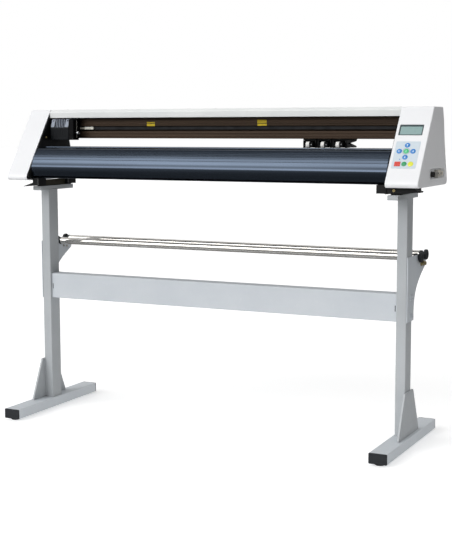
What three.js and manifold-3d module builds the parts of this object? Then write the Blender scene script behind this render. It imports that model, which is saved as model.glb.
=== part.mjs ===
// A vinyl cutter on its stand: two T-shaped legs joined by a crossbeam, two bars that carry the roll,
// and the cutting head with its platen, beam, carriage, pinch rollers, feed shaft and control panel.
// Millimetres, +Z up, -Y towards the operator, +X along the head towards the control panel.
// The origin is on the floor, midway between the legs.
import * as THREE from "three";
import { mergeVertices } from "three/addons/utils/BufferGeometryUtils.js";
import Module from "manifold-3d";

const wasm = await Module();
wasm.setup();

// ---------- driving dimensions ----------

// Clearance left between pieces that touch.
const GAP = 0.3;

// Feet and levelling glides.
const GLIDE_HEIGHT = 6;
const GLIDE_RADIUS = 15;
const GLIDE_STUD_RADIUS = 4;
const GLIDE_STUD_LENGTH = 22;
const GLIDE_Y = 232;
const FOOT_X = 680;
const FOOT_WIDTH = 60;
const FOOT_HEIGHT = 34;
const FOOT_LENGTH = 500;
const FOOT_CAP = 4.5;
const TUBE_WALL = 2;
const TUBE_CORNER = 3;
const FOOT_TOP = GLIDE_HEIGHT + FOOT_HEIGHT;

// Columns with their welded top arm and gusset, and the crossbeam.
const COLUMN_X = 675;
const COLUMN_WIDTH = 34;
const COLUMN_DEPTH = 57;
const COLUMN_TOP = 806;
const ARM_HEIGHT = 14;
const ARM_SHORT_END = 77;
const ARM_LONG_END = 129;
const GUSSET_THICKNESS = 5;
const GUSSET_TOP_HALF = 42;
const GUSSET_FOOT_HALF = 103;
const GUSSET_HEIGHT = 144;
const GUSSET_TOE = 5;
const CROSSBEAM_Y = [-21, 29];
const CROSSBEAM_Z = [411, 501];
const COLUMN_INNER_X = COLUMN_X - COLUMN_WIDTH / 2;
const COLUMN_OUTER_X = COLUMN_X + COLUMN_WIDTH / 2;
const ARM_TOP = COLUMN_TOP + ARM_HEIGHT;

// Roll brackets and bars: each bar's journals turn in the brackets' open notches.
const BRACKET_THICKNESS = 3;
const BRACKET_TOP = 619;
const BRACKET_BACK = 163;
const ROLL_BARS = { front_roll_bar: [85, 610], rear_roll_bar: [140, 614] };
const BAR_RADIUS = 12.5;
const BAR_JOURNAL_RADIUS = 9;
const BAR_COLLAR_RADIUS = 13;
const BAR_CAP_RADIUS = 17;
const BRACKET_INNER_X = COLUMN_OUTER_X + GAP;
const BRACKET_OUTER_X = BRACKET_INNER_X + BRACKET_THICKNESS;

// The head's end housings, and the black side plates that close their inner sides.
const HEAD_BOTTOM = 843;
const HEAD_TOP = 1092;
const MOUNT_FRONT_Y = [-112, -78];
const MOUNT_REAR_Y = [70, 104];
const MOUNT_BLOCK_BOTTOM = 824;
const HEAD_END_X = 759;
const SHELL_WALL = 3;
const PLATE_THICKNESS = 3;
const LEFT_HOUSING_INNER_X = -676;
const RIGHT_HOUSING_INNER_X = 653;
const PANEL_BOTTOM = [-135, 868];
const PANEL_TOP = [18, HEAD_TOP];
const LEFT_PLATE_X = [LEFT_HOUSING_INNER_X + GAP, LEFT_HOUSING_INNER_X + GAP + PLATE_THICKNESS];
const RIGHT_PLATE_X = [RIGHT_HOUSING_INNER_X - GAP - PLATE_THICKNESS, RIGHT_HOUSING_INNER_X - GAP];
const SPAN_X = [LEFT_PLATE_X[1] + GAP, RIGHT_PLATE_X[0] - GAP];

// Beam with its belt groove, and the platen.
const BEAM_Y = [45, 100];
const BEAM_Z = [990, 1062];
const BEAM_WALL = 4;
const GROOVE_Z = [1017, 1035];
const GROOVE_BACK = 81;
const PLATEN_TOP = 959;
const PLATEN_BOTTOM = 851;
const PLATEN_WALL = 3;
const STRIP_Y = 6;
const STRIP_WIDTH = 9;
const STRIP_THICKNESS = 1;

// Feed: the grit shaft under the pinch rollers.
const FEED_Y = 50;
const GRIT_RADIUS = 8.6;
const GRIT_JOURNAL_RADIUS = 5;
const GRIT_Z = PLATEN_TOP + 0.4 - GRIT_RADIUS;
const GRIT_SLOT_HALF = 10;
const GRIT_SLOT_X = [-600, 600];
const ROLLER_X = [322, 374.75, 427.5];
const ROLLER_RADIUS = 10.6;
const ROLLER_WIDTH = 13;
const ROLLER_Z = PLATEN_TOP + 0.8 + ROLLER_RADIUS;
const PINCH_PIN = [86, 974];
const PINCH_WIDTH = 46;

// Carriage drive: a belt round two pulleys that turn about upright axes.
const BELT_Y = 62;
const BELT_Z = 1026;
const BELT_WIDTH = 10;
const BELT_THICKNESS = 1.5;
const PULLEY_RADIUS = 11.7;
const IDLER_X = -716;
const DRIVE_X = 703;
const MOTOR_SHELF_Z = 1034.7;

// Carriage at its parked place by the left side plate.
const CARRIAGE_X = [-664, -566];
const CARRIAGE_SPLIT_X = -587;
const CARRIAGE_BOTTOM = 984;
const CARRIAGE_TOP = 1060;

// Control panel: positions across the machine, and up the slope from its lower edge.
const DISPLAY = { x: 700, s: 183.5, width: 77, height: 39.5 };
const KEYPAD = { x: 701, s: 91.2, width: 78, height: 98.6 };
const KEY_TRAVEL_SPACE = 0.4;
const KEYS = {
  key_up: { x: 699.5, s: 126.5, radius: 8.6, color: 0x3f8fd6 },
  key_left: { x: 677, s: 104.4, radius: 8.6, color: 0x3f8fd6 },
  key_right: { x: 721, s: 104.4, radius: 8.6, color: 0x3f8fd6 },
  key_down: { x: 699.5, s: 82.6, radius: 8.6, color: 0x3f8fd6 },
  key_enter: { x: 699.2, s: 104.4, radius: 8.6, color: 0x46c07c },
  key_stop: { x: 679.5, s: 58, width: 19, height: 16.5, color: 0xd23c34 },
  key_test: { x: 701, s: 58, radius: 8.2, color: 0x2e9c62 },
  key_pause: { x: 721.5, s: 58, radius: 9, color: 0xe6df3a },
};
const PORT_Y = [-18, 153];
const PORT_Z = [865, 898];

// ---------- helpers ----------

const root = new THREE.Group();

function add(name, geometry, color, roughness, metalness, parent = root) {
  const material = new THREE.MeshStandardMaterial({ color, roughness, metalness });
  const mesh = new THREE.Mesh(geometry, material);
  mesh.name = name;
  parent.add(mesh);
  return mesh;
}

// Colours and finishes that several pieces share.
const POWDER_COAT = [0xb4bac2, 0.45, 0.1];
const BLACK_PLASTIC = [0x1e2024, 0.6, 0];
const WHITE_SHELL = [0xf0f1f3, 0.4, 0];
const BLACK_METAL = [0x141518, 0.45, 0.4];
const STEEL = [0xc4c6c8, 0.25, 0.95];

// A closed geometry as a manifold-3d solid.
function solid(geometry) {
  const bare = geometry.index ? geometry.toNonIndexed() : geometry.clone();
  bare.deleteAttribute("normal");
  bare.deleteAttribute("uv");
  const merged = mergeVertices(bare, 1e-4);
  const vertProperties = merged.attributes.position.array;
  const triVerts = new Uint32Array(merged.index.array);
  return new wasm.Manifold(new wasm.Mesh({ numProp: 3, vertProperties, triVerts }));
}

function geometryOf(manifold) {
  const mesh = manifold.getMesh();
  const geometry = new THREE.BufferGeometry();
  geometry.setAttribute("position", new THREE.BufferAttribute(mesh.vertProperties, 3));
  geometry.setIndex(new THREE.BufferAttribute(mesh.triVerts, 1));
  return geometry;
}

function join(...geometries) {
  return geometryOf(geometries.map(solid).reduce((whole, piece) => whole.add(piece)));
}

function cut(geometry, ...tools) {
  return geometryOf(tools.map(solid).reduce((whole, tool) => whole.subtract(tool), solid(geometry)));
}

function box([x0, x1], [y0, y1], [z0, z1]) {
  const geometry = new THREE.BoxGeometry(x1 - x0, y1 - y0, z1 - z0);
  return geometry.translate((x0 + x1) / 2, (y0 + y1) / 2, (z0 + z1) / 2);
}

// A round rod along "x", "y" or "z" from one coordinate to another, centred on the other two.
function rod(axis, radius, [from, to], [a, b], sides = 24) {
  const geometry = new THREE.CylinderGeometry(radius, radius, to - from, sides);
  const middle = (from + to) / 2;
  if (axis === "x") {
    return geometry.rotateZ(-Math.PI / 2).translate(middle, a, b);
  }
  if (axis === "y") {
    return geometry.translate(a, middle, b);
  }
  return geometry.rotateX(Math.PI / 2).translate(a, b, middle);
}

// A shape drawn in Y and Z, extruded along X.
function extrudeX(shape, [x0, x1], curveSegments = 6) {
  const geometry = new THREE.ExtrudeGeometry(shape, { depth: x1 - x0, bevelEnabled: false, curveSegments });
  const turn = new THREE.Matrix4().makeBasis(
    new THREE.Vector3(0, 1, 0),
    new THREE.Vector3(0, 0, 1),
    new THREE.Vector3(1, 0, 0),
  );
  return geometry.applyMatrix4(turn).translate(x0, 0, 0);
}

function roundedRectangle(width, height, radius, Type = THREE.Shape) {
  const w = width / 2;
  const h = height / 2;
  const shape = new Type();
  shape.moveTo(-w + radius, -h);
  shape.lineTo(w - radius, -h);
  shape.absarc(w - radius, -h + radius, radius, -Math.PI / 2, 0);
  shape.lineTo(w, h - radius);
  shape.absarc(w - radius, h - radius, radius, 0, Math.PI / 2);
  shape.lineTo(-w + radius, h);
  shape.absarc(-w + radius, h - radius, radius, Math.PI / 2, Math.PI);
  shape.lineTo(-w, -h + radius);
  shape.absarc(-w + radius, -h + radius, radius, Math.PI, Math.PI * 1.5);
  return shape;
}

// A rectangular tube centred on its own Z axis, starting at z = 0.
function tube(width, depth, length) {
  const shape = roundedRectangle(width, depth, TUBE_CORNER);
  const hollow = roundedRectangle(width - 2 * TUBE_WALL, depth - 2 * TUBE_WALL, 1, THREE.Path);
  shape.holes.push(hollow);
  return new THREE.ExtrudeGeometry(shape, { depth: length, bevelEnabled: false, curveSegments: 3 });
}

// A closed outline through corners given as [y, z, trim], each trimmed back and rounded where trim is given.
function roundedOutline(corners) {
  const shape = new THREE.Shape();
  corners.forEach(([y, z, trim = 0], i) => {
    const corner = new THREE.Vector2(y, z);
    const before = new THREE.Vector2(...corners[(i + corners.length - 1) % corners.length]);
    const after = new THREE.Vector2(...corners[(i + 1) % corners.length]);
    const start = corner.clone().add(before.sub(corner).setLength(trim));
    const end = corner.clone().add(after.sub(corner).setLength(trim));
    if (i === 0) {
      shape.moveTo(start.x, start.y);
    } else {
      shape.lineTo(start.x, start.y);
    }
    if (trim > 0) {
      shape.quadraticCurveTo(corner.x, corner.y, end.x, end.y);
    }
  });
  return shape;
}

// The same corners moved inwards by a distance, for outlines listed clockwise as seen from +X.
function inset(corners, distance) {
  const count = corners.length;
  const line = (i) => {
    const a = new THREE.Vector2(...corners[i % count]);
    const b = new THREE.Vector2(...corners[(i + 1) % count]);
    const along = b.clone().sub(a).normalize();
    const inwards = new THREE.Vector2(along.y, -along.x).multiplyScalar(distance);
    return { point: a.add(inwards), along };
  };
  return corners.map(([, , trim = 0], i) => {
    const p = line(i + count - 1);
    const q = line(i);
    const t = q.point.clone().sub(p.point).cross(q.along) / p.along.cross(q.along);
    const corner = p.point.clone().addScaledVector(p.along, t);
    return [corner.x, corner.y, Math.max(trim - distance, 0)];
  });
}

// ---------- stand ----------

function foot(side, x) {
  const bar = tube(FOOT_WIDTH, FOOT_HEIGHT, FOOT_LENGTH).rotateX(Math.PI / 2);
  bar.translate(0, FOOT_LENGTH / 2, GLIDE_HEIGHT + FOOT_HEIGHT / 2);
  const drill = (y) => rod("z", GLIDE_STUD_RADIUS + GAP, [0, GLIDE_HEIGHT + 10], [0, y], 16);
  add(`${side}_foot`, cut(bar, drill(-GLIDE_Y), drill(GLIDE_Y)), ...POWDER_COAT).position.x = x;
}

function footCap(side, end, x, direction) {
  const plugSize = [FOOT_WIDTH - 2 * TUBE_WALL - 1, FOOT_HEIGHT - 2 * TUBE_WALL - 1];
  const flange = new THREE.ExtrudeGeometry(roundedRectangle(FOOT_WIDTH, FOOT_HEIGHT, TUBE_CORNER), {
    depth: FOOT_CAP - GAP,
    bevelEnabled: false,
    curveSegments: 3,
  });
  const plug = box([-plugSize[0] / 2, plugSize[0] / 2], [-plugSize[1] / 2, plugSize[1] / 2], [-9, 1]);
  const cap = add(`${side}_${end}_foot_cap`, join(flange, plug), ...BLACK_PLASTIC);
  cap.rotation.x = (-direction * Math.PI) / 2;
  cap.position.set(x, direction * (FOOT_LENGTH / 2 + GAP), GLIDE_HEIGHT + FOOT_HEIGHT / 2);
}

function glide(side, end, x, y) {
  const profile = [
    [0, 0],
    [GLIDE_RADIUS, 0],
    [GLIDE_RADIUS, GLIDE_HEIGHT * 0.5],
    [GLIDE_RADIUS - 2, GLIDE_HEIGHT - GAP],
    [GLIDE_STUD_RADIUS, GLIDE_HEIGHT - GAP],
    [GLIDE_STUD_RADIUS, GLIDE_STUD_LENGTH],
    [0, GLIDE_STUD_LENGTH],
  ].map(([r, z]) => new THREE.Vector2(r, z));
  const geometry = new THREE.LatheGeometry(profile, 16).rotateX(Math.PI / 2);
  add(`${side}_${end}_glide`, geometry, ...BLACK_PLASTIC).position.set(x, y, 0);
}

// The left column; the right one is the same weldment turned half a turn.
function column(side, x, turn) {
  const bottom = FOOT_TOP + GAP;
  const half = COLUMN_WIDTH / 2;
  const post = tube(COLUMN_WIDTH, COLUMN_DEPTH, COLUMN_TOP - bottom).translate(0, 0, bottom);
  const arm = box([-half, half], [-ARM_SHORT_END, ARM_LONG_END], [COLUMN_TOP - 1, ARM_TOP]);
  const plate = new THREE.Shape();
  plate.moveTo(-GUSSET_FOOT_HALF, bottom);
  plate.lineTo(GUSSET_FOOT_HALF, bottom);
  plate.lineTo(GUSSET_FOOT_HALF, bottom + GUSSET_TOE);
  plate.lineTo(GUSSET_TOP_HALF, bottom + GUSSET_HEIGHT);
  plate.lineTo(-GUSSET_TOP_HALF, bottom + GUSSET_HEIGHT);
  plate.lineTo(-GUSSET_FOOT_HALF, bottom + GUSSET_TOE);
  const gusset = extrudeX(plate, [-half - GUSSET_THICKNESS, -half + 1]);
  const mesh = add(`${side}_column`, join(post, arm, gusset), ...POWDER_COAT);
  mesh.position.x = x;
  mesh.rotation.z = turn;
}

function crossbeam() {
  const depth = CROSSBEAM_Y[1] - CROSSBEAM_Y[0];
  const height = CROSSBEAM_Z[1] - CROSSBEAM_Z[0];
  const length = 2 * (COLUMN_INNER_X - GAP);
  const bar = tube(height, depth, length).rotateY(Math.PI / 2);
  bar.translate(-length / 2, (CROSSBEAM_Y[0] + CROSSBEAM_Y[1]) / 2, (CROSSBEAM_Z[0] + CROSSBEAM_Z[1]) / 2);
  add("crossbeam", bar, ...POWDER_COAT);
}

function rollBracket(side, x) {
  const notch = BAR_JOURNAL_RADIUS + GAP;
  const front = -COLUMN_DEPTH / 2;
  const shape = new THREE.Shape();
  shape.moveTo(front, CROSSBEAM_Z[0]);
  shape.lineTo(front, BRACKET_TOP);
  for (const [y, z] of Object.values(ROLL_BARS)) {
    shape.lineTo(y - notch, BRACKET_TOP);
    shape.absarc(y, z, notch, Math.PI, Math.PI * 2);
    shape.lineTo(y + notch, BRACKET_TOP);
  }
  shape.lineTo(BRACKET_BACK - 10, BRACKET_TOP);
  shape.quadraticCurveTo(BRACKET_BACK, BRACKET_TOP, BRACKET_BACK, BRACKET_TOP - 10);
  shape.lineTo(BRACKET_BACK, 581);
  shape.bezierCurveTo(100, 545, 40, 520, 38, 440);
  shape.lineTo(38, CROSSBEAM_Z[0]);
  add(`${side}_roll_bracket`, extrudeX(shape, [x, x + BRACKET_THICKNESS], 8), ...POWDER_COAT);
}

function rollBar(name, [y, z]) {
  const tubeEnd = BRACKET_INNER_X - 10;
  const collarEnd = BRACKET_INNER_X - 2;
  const capStart = BRACKET_OUTER_X + 2;
  const capEnd = capStart + 10;
  const half = [
    [BAR_RADIUS, tubeEnd],
    [BAR_COLLAR_RADIUS, tubeEnd],
    [BAR_COLLAR_RADIUS, collarEnd],
    [BAR_JOURNAL_RADIUS, collarEnd],
    [BAR_JOURNAL_RADIUS, capStart],
    [BAR_CAP_RADIUS, capStart],
    [BAR_CAP_RADIUS, capEnd],
    [0, capEnd],
  ];
  const mirrored = half.map(([r, x]) => [r, -x]).reverse();
  const profile = [...mirrored, ...half].map(([r, x]) => new THREE.Vector2(r, x));
  const geometry = new THREE.LatheGeometry(profile, 20).rotateZ(-Math.PI / 2);
  add(name, geometry, ...STEEL).position.set(0, y, z);
}

// ---------- head: structure ----------

// Black brackets carry the ends of the head on the columns' arms.

// A plate whose outline lies in x and z, between two values of y.
function slab(outline, [front, back]) {
  const shape = new THREE.Shape(outline.map(([x, z]) => new THREE.Vector2(x, z)));
  const geometry = new THREE.ExtrudeGeometry(shape, { depth: back - front, bevelEnabled: false });
  return geometry.rotateX(Math.PI / 2).translate(0, back, 0);
}

// Under the left end: two blocks that reach up to the platen, and a tapered wing beside the front one.
function leftMountBracket() {
  const bottom = ARM_TOP + GAP;
  const blockZ = [MOUNT_BLOCK_BOTTOM, PLATEN_BOTTOM - GAP];
  const core = box([-669, -655], [-80, 112], [bottom, HEAD_BOTTOM - GAP]);
  const frontBlock = box([-669, -645], [-112, -64], blockZ);
  const rearBlock = box([-660, -639], [70, 120], blockZ);
  const outline = [[-668, 823], [-668, 837], [-721, 820], [-721, 819], [-692, 821]];
  const wing = slab(outline, [-98, -82]);
  add("left_mount_bracket", join(core, frontBlock, rearBlock, wing), ...BLACK_METAL);
}

// Under the right end: a front plate below the housing, with a flat wing and the same two blocks.
function rightMountBracket() {
  const bottom = ARM_TOP + GAP;
  const blockTop = PLATEN_BOTTOM - GAP;
  const core = box([658, 692], [-97, 112], [bottom, HEAD_BOTTOM - GAP]);
  const face = [[642, 822], [742, 829], [742, HEAD_BOTTOM - GAP], [642, HEAD_BOTTOM - GAP]];
  const frontPlate = slab(face, [-108, -96]);
  const frontBlock = box([616, 648], MOUNT_FRONT_Y, [MOUNT_BLOCK_BOTTOM, blockTop]);
  const rearBlock = join(
    box([606, 648], MOUNT_REAR_Y, [MOUNT_BLOCK_BOTTOM, blockTop]),
    box([640, 659], MOUNT_REAR_Y, [MOUNT_BLOCK_BOTTOM, HEAD_BOTTOM - GAP]),
  );
  const wing = box([714, 752], [-97, -62], [828, 833]);
  add("right_mount_bracket", join(core, frontPlate, frontBlock, rearBlock, wing), ...BLACK_METAL);
}

// The head's end outline, listed clockwise as seen from +X: [y, z, trim].
const HOUSING_OUTLINE = [
  [-152, HEAD_BOTTOM, 31],
  [...PANEL_TOP, 5],
  [114, HEAD_TOP, 5],
  [128, 1050],
  [138, 986],
  [178, HEAD_BOTTOM, 24],
];

function housingShell(outerX, innerX) {
  const side = Math.sign(outerX);
  const span = (a, b) => (a < b ? [a, b] : [b, a]);
  const outer = extrudeX(roundedOutline(HOUSING_OUTLINE), span(outerX, innerX));
  const hollow = roundedOutline(inset(HOUSING_OUTLINE, SHELL_WALL));
  const core = extrudeX(hollow, span(outerX - side * SHELL_WALL, innerX - side * 5));
  return cut(outer, core);
}

function leftHousing() {
  add("left_housing", housingShell(-HEAD_END_X, LEFT_HOUSING_INNER_X), ...WHITE_SHELL);
}

const slopeAngle = Math.atan2(PANEL_TOP[1] - PANEL_BOTTOM[1], PANEL_TOP[0] - PANEL_BOTTOM[0]);

// Moves a geometry from the panel's own frame (x, up the slope, outwards) to the machine's.
function onPanel(geometry) {
  return geometry.rotateX(slopeAngle).translate(0, PANEL_BOTTOM[0], PANEL_BOTTOM[1]);
}

function panelBlock({ x, s, width, height }, [low, high], clearance = 0) {
  const w = width / 2 + clearance;
  const h = height / 2 + clearance;
  return box([x - w, x + w], [s - h, s + h], [low, high]);
}

function keyBlock(key, heights, clearance = 0) {
  if (key.radius) {
    return rod("z", key.radius + clearance, heights, [key.x, key.s], 16);
  }
  return panelBlock(key, heights, clearance);
}

function rightHousing() {
  const shell = housingShell(HEAD_END_X, RIGHT_HOUSING_INNER_X);
  const displayWindow = onPanel(panelBlock(DISPLAY, [-10, 5], GAP));
  const keypadPocket = onPanel(panelBlock(KEYPAD, [-1.3, 5], GAP));
  const keyHoles = Object.values(KEYS).map((key) => onPanel(keyBlock(key, [-10, 5], KEY_TRAVEL_SPACE)));
  const portWindow = box([HEAD_END_X - 10, HEAD_END_X + 5], PORT_Y, PORT_Z);
  const geometry = cut(shell, displayWindow, keypadPocket, ...keyHoles, portWindow);
  add("right_housing", geometry, ...WHITE_SHELL);
}

const SIDE_PLATE_OUTLINE = [
  [-112, 849.5],
  [-130, 858, 6],
  [-1, 1058],
  [16, 1058],
  [16, 1081],
  [27, 1088.5],
  [107, 1088.5],
  [119, 1050],
  [127.5, 996],
  [162, 872],
  [155, 849.5],
];

function sidePlate(side, plateX, shelfX, shelfZ) {
  const plate = extrudeX(roundedOutline(SIDE_PLATE_OUTLINE), plateX);
  const beltWindow = box([plateX[0] - 1, plateX[1] + 1], [BELT_Y - 17, BELT_Y + 17], [BELT_Z - 9, BELT_Z + 8]);
  const shaftHole = rod("x", GRIT_JOURNAL_RADIUS + GAP, [plateX[0] - 1, plateX[1] + 1], [FEED_Y, GRIT_Z], 20);
  const shelf = box(shelfX, [BELT_Y - 16, BELT_Y + 16], [shelfZ, shelfZ + 3]);
  const shelfHoleX = plateX[0] > 0 ? DRIVE_X : IDLER_X;
  const shelfHole = rod("z", 6, [shelfZ - 1, shelfZ + 4], [shelfHoleX, BELT_Y], 16);
  add(`${side}_side_plate`, cut(join(plate, shelf), beltWindow, shaftHole, shelfHole), ...BLACK_METAL);
}

function beam() {
  const shape = new THREE.Shape();
  shape.moveTo(BEAM_Y[0], BEAM_Z[0]);
  shape.lineTo(BEAM_Y[1], BEAM_Z[0]);
  shape.lineTo(BEAM_Y[1], BEAM_Z[1]);
  shape.lineTo(BEAM_Y[0], BEAM_Z[1]);
  shape.lineTo(BEAM_Y[0], GROOVE_Z[1]);
  shape.lineTo(GROOVE_BACK, GROOVE_Z[1]);
  shape.lineTo(GROOVE_BACK, GROOVE_Z[0]);
  shape.lineTo(BEAM_Y[0], GROOVE_Z[0]);
  const chambers = [
    [BEAM_Z[0] + BEAM_WALL, GROOVE_Z[0] - BEAM_WALL],
    [GROOVE_Z[1] + BEAM_WALL, BEAM_Z[1] - BEAM_WALL],
  ];
  for (const [low, high] of chambers) {
    const hole = new THREE.Path();
    hole.moveTo(BEAM_Y[0] + BEAM_WALL, low);
    hole.lineTo(BEAM_Y[0] + BEAM_WALL, high);
    hole.lineTo(BEAM_Y[1] - BEAM_WALL, high);
    hole.lineTo(BEAM_Y[1] - BEAM_WALL, low);
    shape.holes.push(hole);
  }
  add("beam", extrudeX(shape, SPAN_X), 0x3a2f2b, 0.4, 0.6);
}

// The platen's section: flat on top, rolling over to a rounded nose at the front.
function platenOutline(offset, Type = THREE.Shape) {
  const top = PLATEN_TOP - offset;
  const bottom = PLATEN_BOTTOM + offset;
  const shape = new Type();
  shape.moveTo(134 - offset, top);
  shape.lineTo(-52 + offset * 0.5, top);
  shape.bezierCurveTo(-86 + offset, top, -96 + offset, 930, -104 + offset, 911);
  shape.bezierCurveTo(-112 + offset, 893, -117 + offset, 889, -117 + offset, 876);
  shape.bezierCurveTo(-117 + offset, 862, -114 + offset, bottom, -104 + offset, bottom);
  shape.lineTo(146 - offset, bottom);
  return shape;
}

function platen() {
  const shape = platenOutline(0);
  shape.holes.push(platenOutline(PLATEN_WALL, THREE.Path));
  const slotY = [FEED_Y - GRIT_SLOT_HALF, FEED_Y + GRIT_SLOT_HALF];
  const slot = box(GRIT_SLOT_X, slotY, [PLATEN_TOP - 10, PLATEN_TOP + 5]);
  const stripY = [STRIP_Y - STRIP_WIDTH / 2 - GAP, STRIP_Y + STRIP_WIDTH / 2 + GAP];
  const stripGroove = box([SPAN_X[0] - 1, SPAN_X[1] + 1], stripY, [PLATEN_TOP - STRIP_THICKNESS - GAP, PLATEN_TOP + 5]);
  add("platen", cut(extrudeX(shape, SPAN_X, 6), slot, stripGroove), 0x232830, 0.35, 0.5);
}

function cuttingStrip() {
  const y = [STRIP_Y - STRIP_WIDTH / 2, STRIP_Y + STRIP_WIDTH / 2];
  const strip = box([SPAN_X[0] + 2, SPAN_X[1] - 2], y, [PLATEN_TOP - STRIP_THICKNESS, PLATEN_TOP]);
  add("cutting_strip", strip, 0x2c2e32, 0.7, 0);
}

// A folded sheet over the beam, open below and towards the platen.
function topCover() {
  const outer = [
    [12, 1063],
    [12, 1084],
    [24, HEAD_TOP],
    [111, HEAD_TOP],
    [124, 1050],
    [132, 996],
  ];
  const inner = [
    [130.4, 996],
    [122.4, 1050],
    [109.8, HEAD_TOP - 1.5],
    [24.5, HEAD_TOP - 1.5],
    [13.5, 1083.2],
    [13.5, 1063],
  ];
  const shape = new THREE.Shape([...outer, ...inner].map(([y, z]) => new THREE.Vector2(y, z)));
  add("top_cover", extrudeX(shape, [LEFT_PLATE_X[0], RIGHT_PLATE_X[1]]), 0xd6d9d8, 0.45, 0.1);
}

// ---------- head: control panel and ports ----------

function panel() {
  add("display_module", onPanel(panelBlock(DISPLAY, [-7, -0.6])), 0x8fb0aa, 0.2, 0);
  const sheet = panelBlock(KEYPAD, [-1, 0.2]);
  const holes = Object.values(KEYS).map((key) => keyBlock(key, [-5, 5], KEY_TRAVEL_SPACE));
  add("keypad_panel", onPanel(cut(sheet, ...holes)), 0xe9ecee, 0.5, 0);
  for (const [name, key] of Object.entries(KEYS)) {
    add(name, onPanel(keyBlock(key, [-2.5, 1.2])), key.color, 0.4, 0);
  }
}

// A tray set into the right housing's end wall, holding three connectors.
function portPanel() {
  const back = HEAD_END_X - 18;
  const mouth = HEAD_END_X - SHELL_WALL - GAP;
  const grow = ([low, high], by) => [low - by, high + by];
  const tray = cut(
    box([back, mouth], grow(PORT_Y, 2.5), grow(PORT_Z, 2.5)),
    box([back + 2.5, mouth + 1], PORT_Y, PORT_Z),
  );
  const round = rod("x", 9, [back + 1, mouth - 2], [46, 879], 20);
  const upright = box([back + 1, mouth - 3], [78, 92], [868, 894]);
  const wide = box([back + 1, mouth - 2], [106, 150], [869, 891]);
  add("port_panel", join(tray, round, upright, wide), 0x8d8a82, 0.5, 0);
}

// ---------- head: drives and electronics ----------

function gritShaft() {
  const thick = rod("x", GRIT_RADIUS, [GRIT_SLOT_X[0] + 3, GRIT_SLOT_X[1] - 3], [FEED_Y, GRIT_Z], 20);
  const journal = rod("x", GRIT_JOURNAL_RADIUS, [-684, 671.7], [FEED_Y, GRIT_Z], 16);
  add("grit_shaft", join(thick, journal), ...STEEL);
}

function feedMotor() {
  const half = 28;
  const body = box([672, 730], [FEED_Y - half, FEED_Y + half], [GRIT_Z - half, GRIT_Z + half]);
  add("feed_motor", body, 0x2a2b2e, 0.5, 0.5);
}

function carriageMotor() {
  const half = 21;
  const low = MOTOR_SHELF_Z + 3 + GAP;
  const body = box([DRIVE_X - half, DRIVE_X + half], [BELT_Y - half, BELT_Y + half], [low, 1084]);
  add("carriage_motor", body, 0x2a2b2e, 0.5, 0.5);
}

// A toothed pulley between two flanges, with its shaft reaching up to the shelf above.
function pulley(name, x) {
  const flange = PULLEY_RADIUS + 2.8;
  const beltHalf = BELT_WIDTH / 2 + GAP;
  const profile = [
    [0, -beltHalf - 1.7],
    [flange, -beltHalf - 1.7],
    [flange, -beltHalf],
    [PULLEY_RADIUS, -beltHalf],
    [PULLEY_RADIUS, beltHalf],
    [flange, beltHalf],
    [flange, beltHalf + 1.5],
    [3, beltHalf + 1.5],
    [3, MOTOR_SHELF_Z + 3 - BELT_Z],
    [0, MOTOR_SHELF_Z + 3 - BELT_Z],
  ].map(([r, z]) => new THREE.Vector2(r, z));
  const geometry = new THREE.LatheGeometry(profile, 20).rotateX(Math.PI / 2);
  add(name, geometry, ...STEEL).position.set(x, BELT_Y, BELT_Z);
}

function beltLoop(radius, Type = THREE.Shape) {
  const loop = new Type();
  loop.absarc(DRIVE_X, BELT_Y, radius, -Math.PI / 2, Math.PI / 2);
  loop.absarc(IDLER_X, BELT_Y, radius, Math.PI / 2, Math.PI * 1.5);
  loop.closePath();
  return loop;
}

function driveBelt() {
  const inner = PULLEY_RADIUS + GAP;
  const shape = beltLoop(inner + BELT_THICKNESS);
  shape.holes.push(beltLoop(inner, THREE.Path));
  const geometry = new THREE.ExtrudeGeometry(shape, { depth: BELT_WIDTH, bevelEnabled: false, curveSegments: 12 });
  add("drive_belt", geometry.translate(0, 0, BELT_Z - BELT_WIDTH / 2), 0x151515, 0.8, 0);
}

function controlBoard() {
  const board = box([664, 666], [-85, 20], [862, 925]);
  const chips = [
    box([665, 670], [-70, -50], [880, 905]),
    box([665, 678], [-35, -20], [868, 883]),
    box([665, 674], [-10, 12], [895, 918]),
  ];
  add("control_board", join(board, ...chips), 0x1f5f3a, 0.6, 0.1);
}

function powerSupply() {
  add("power_supply", box([668, 735], [70, 148], [852, 912]), 0xb8babb, 0.4, 0.8);
}

// ---------- head: carriage ----------

// A black casting that hooks over the beam, with a back plate behind the ribbed cover.
function carriageBody() {
  const outline = [
    [21, CARRIAGE_BOTTOM],
    [34, CARRIAGE_BOTTOM],
    [34, 991],
    [BEAM_Y[0] - 0.5, 991],
    [BEAM_Y[0] - 0.5, BEAM_Z[1] + 1],
    [BEAM_Y[1] + 1, BEAM_Z[1] + 1],
    [BEAM_Y[1] + 1, 1050],
    [BEAM_Y[1] + 6, 1050],
    [BEAM_Y[1] + 6, 1074],
    [16, 1074],
    [16, CARRIAGE_TOP],
    [21, CARRIAGE_TOP],
  ];
  const shape = new THREE.Shape(outline.map(([y, z]) => new THREE.Vector2(y, z)));
  const hook = extrudeX(shape, [CARRIAGE_SPLIT_X, CARRIAGE_X[1]]);
  const plate = box([CARRIAGE_X[0], CARRIAGE_SPLIT_X + 1], [38, BEAM_Y[0] - 0.5], [991, CARRIAGE_TOP]);
  add("carriage_body", join(hook, plate), ...BLACK_PLASTIC);
}

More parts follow.
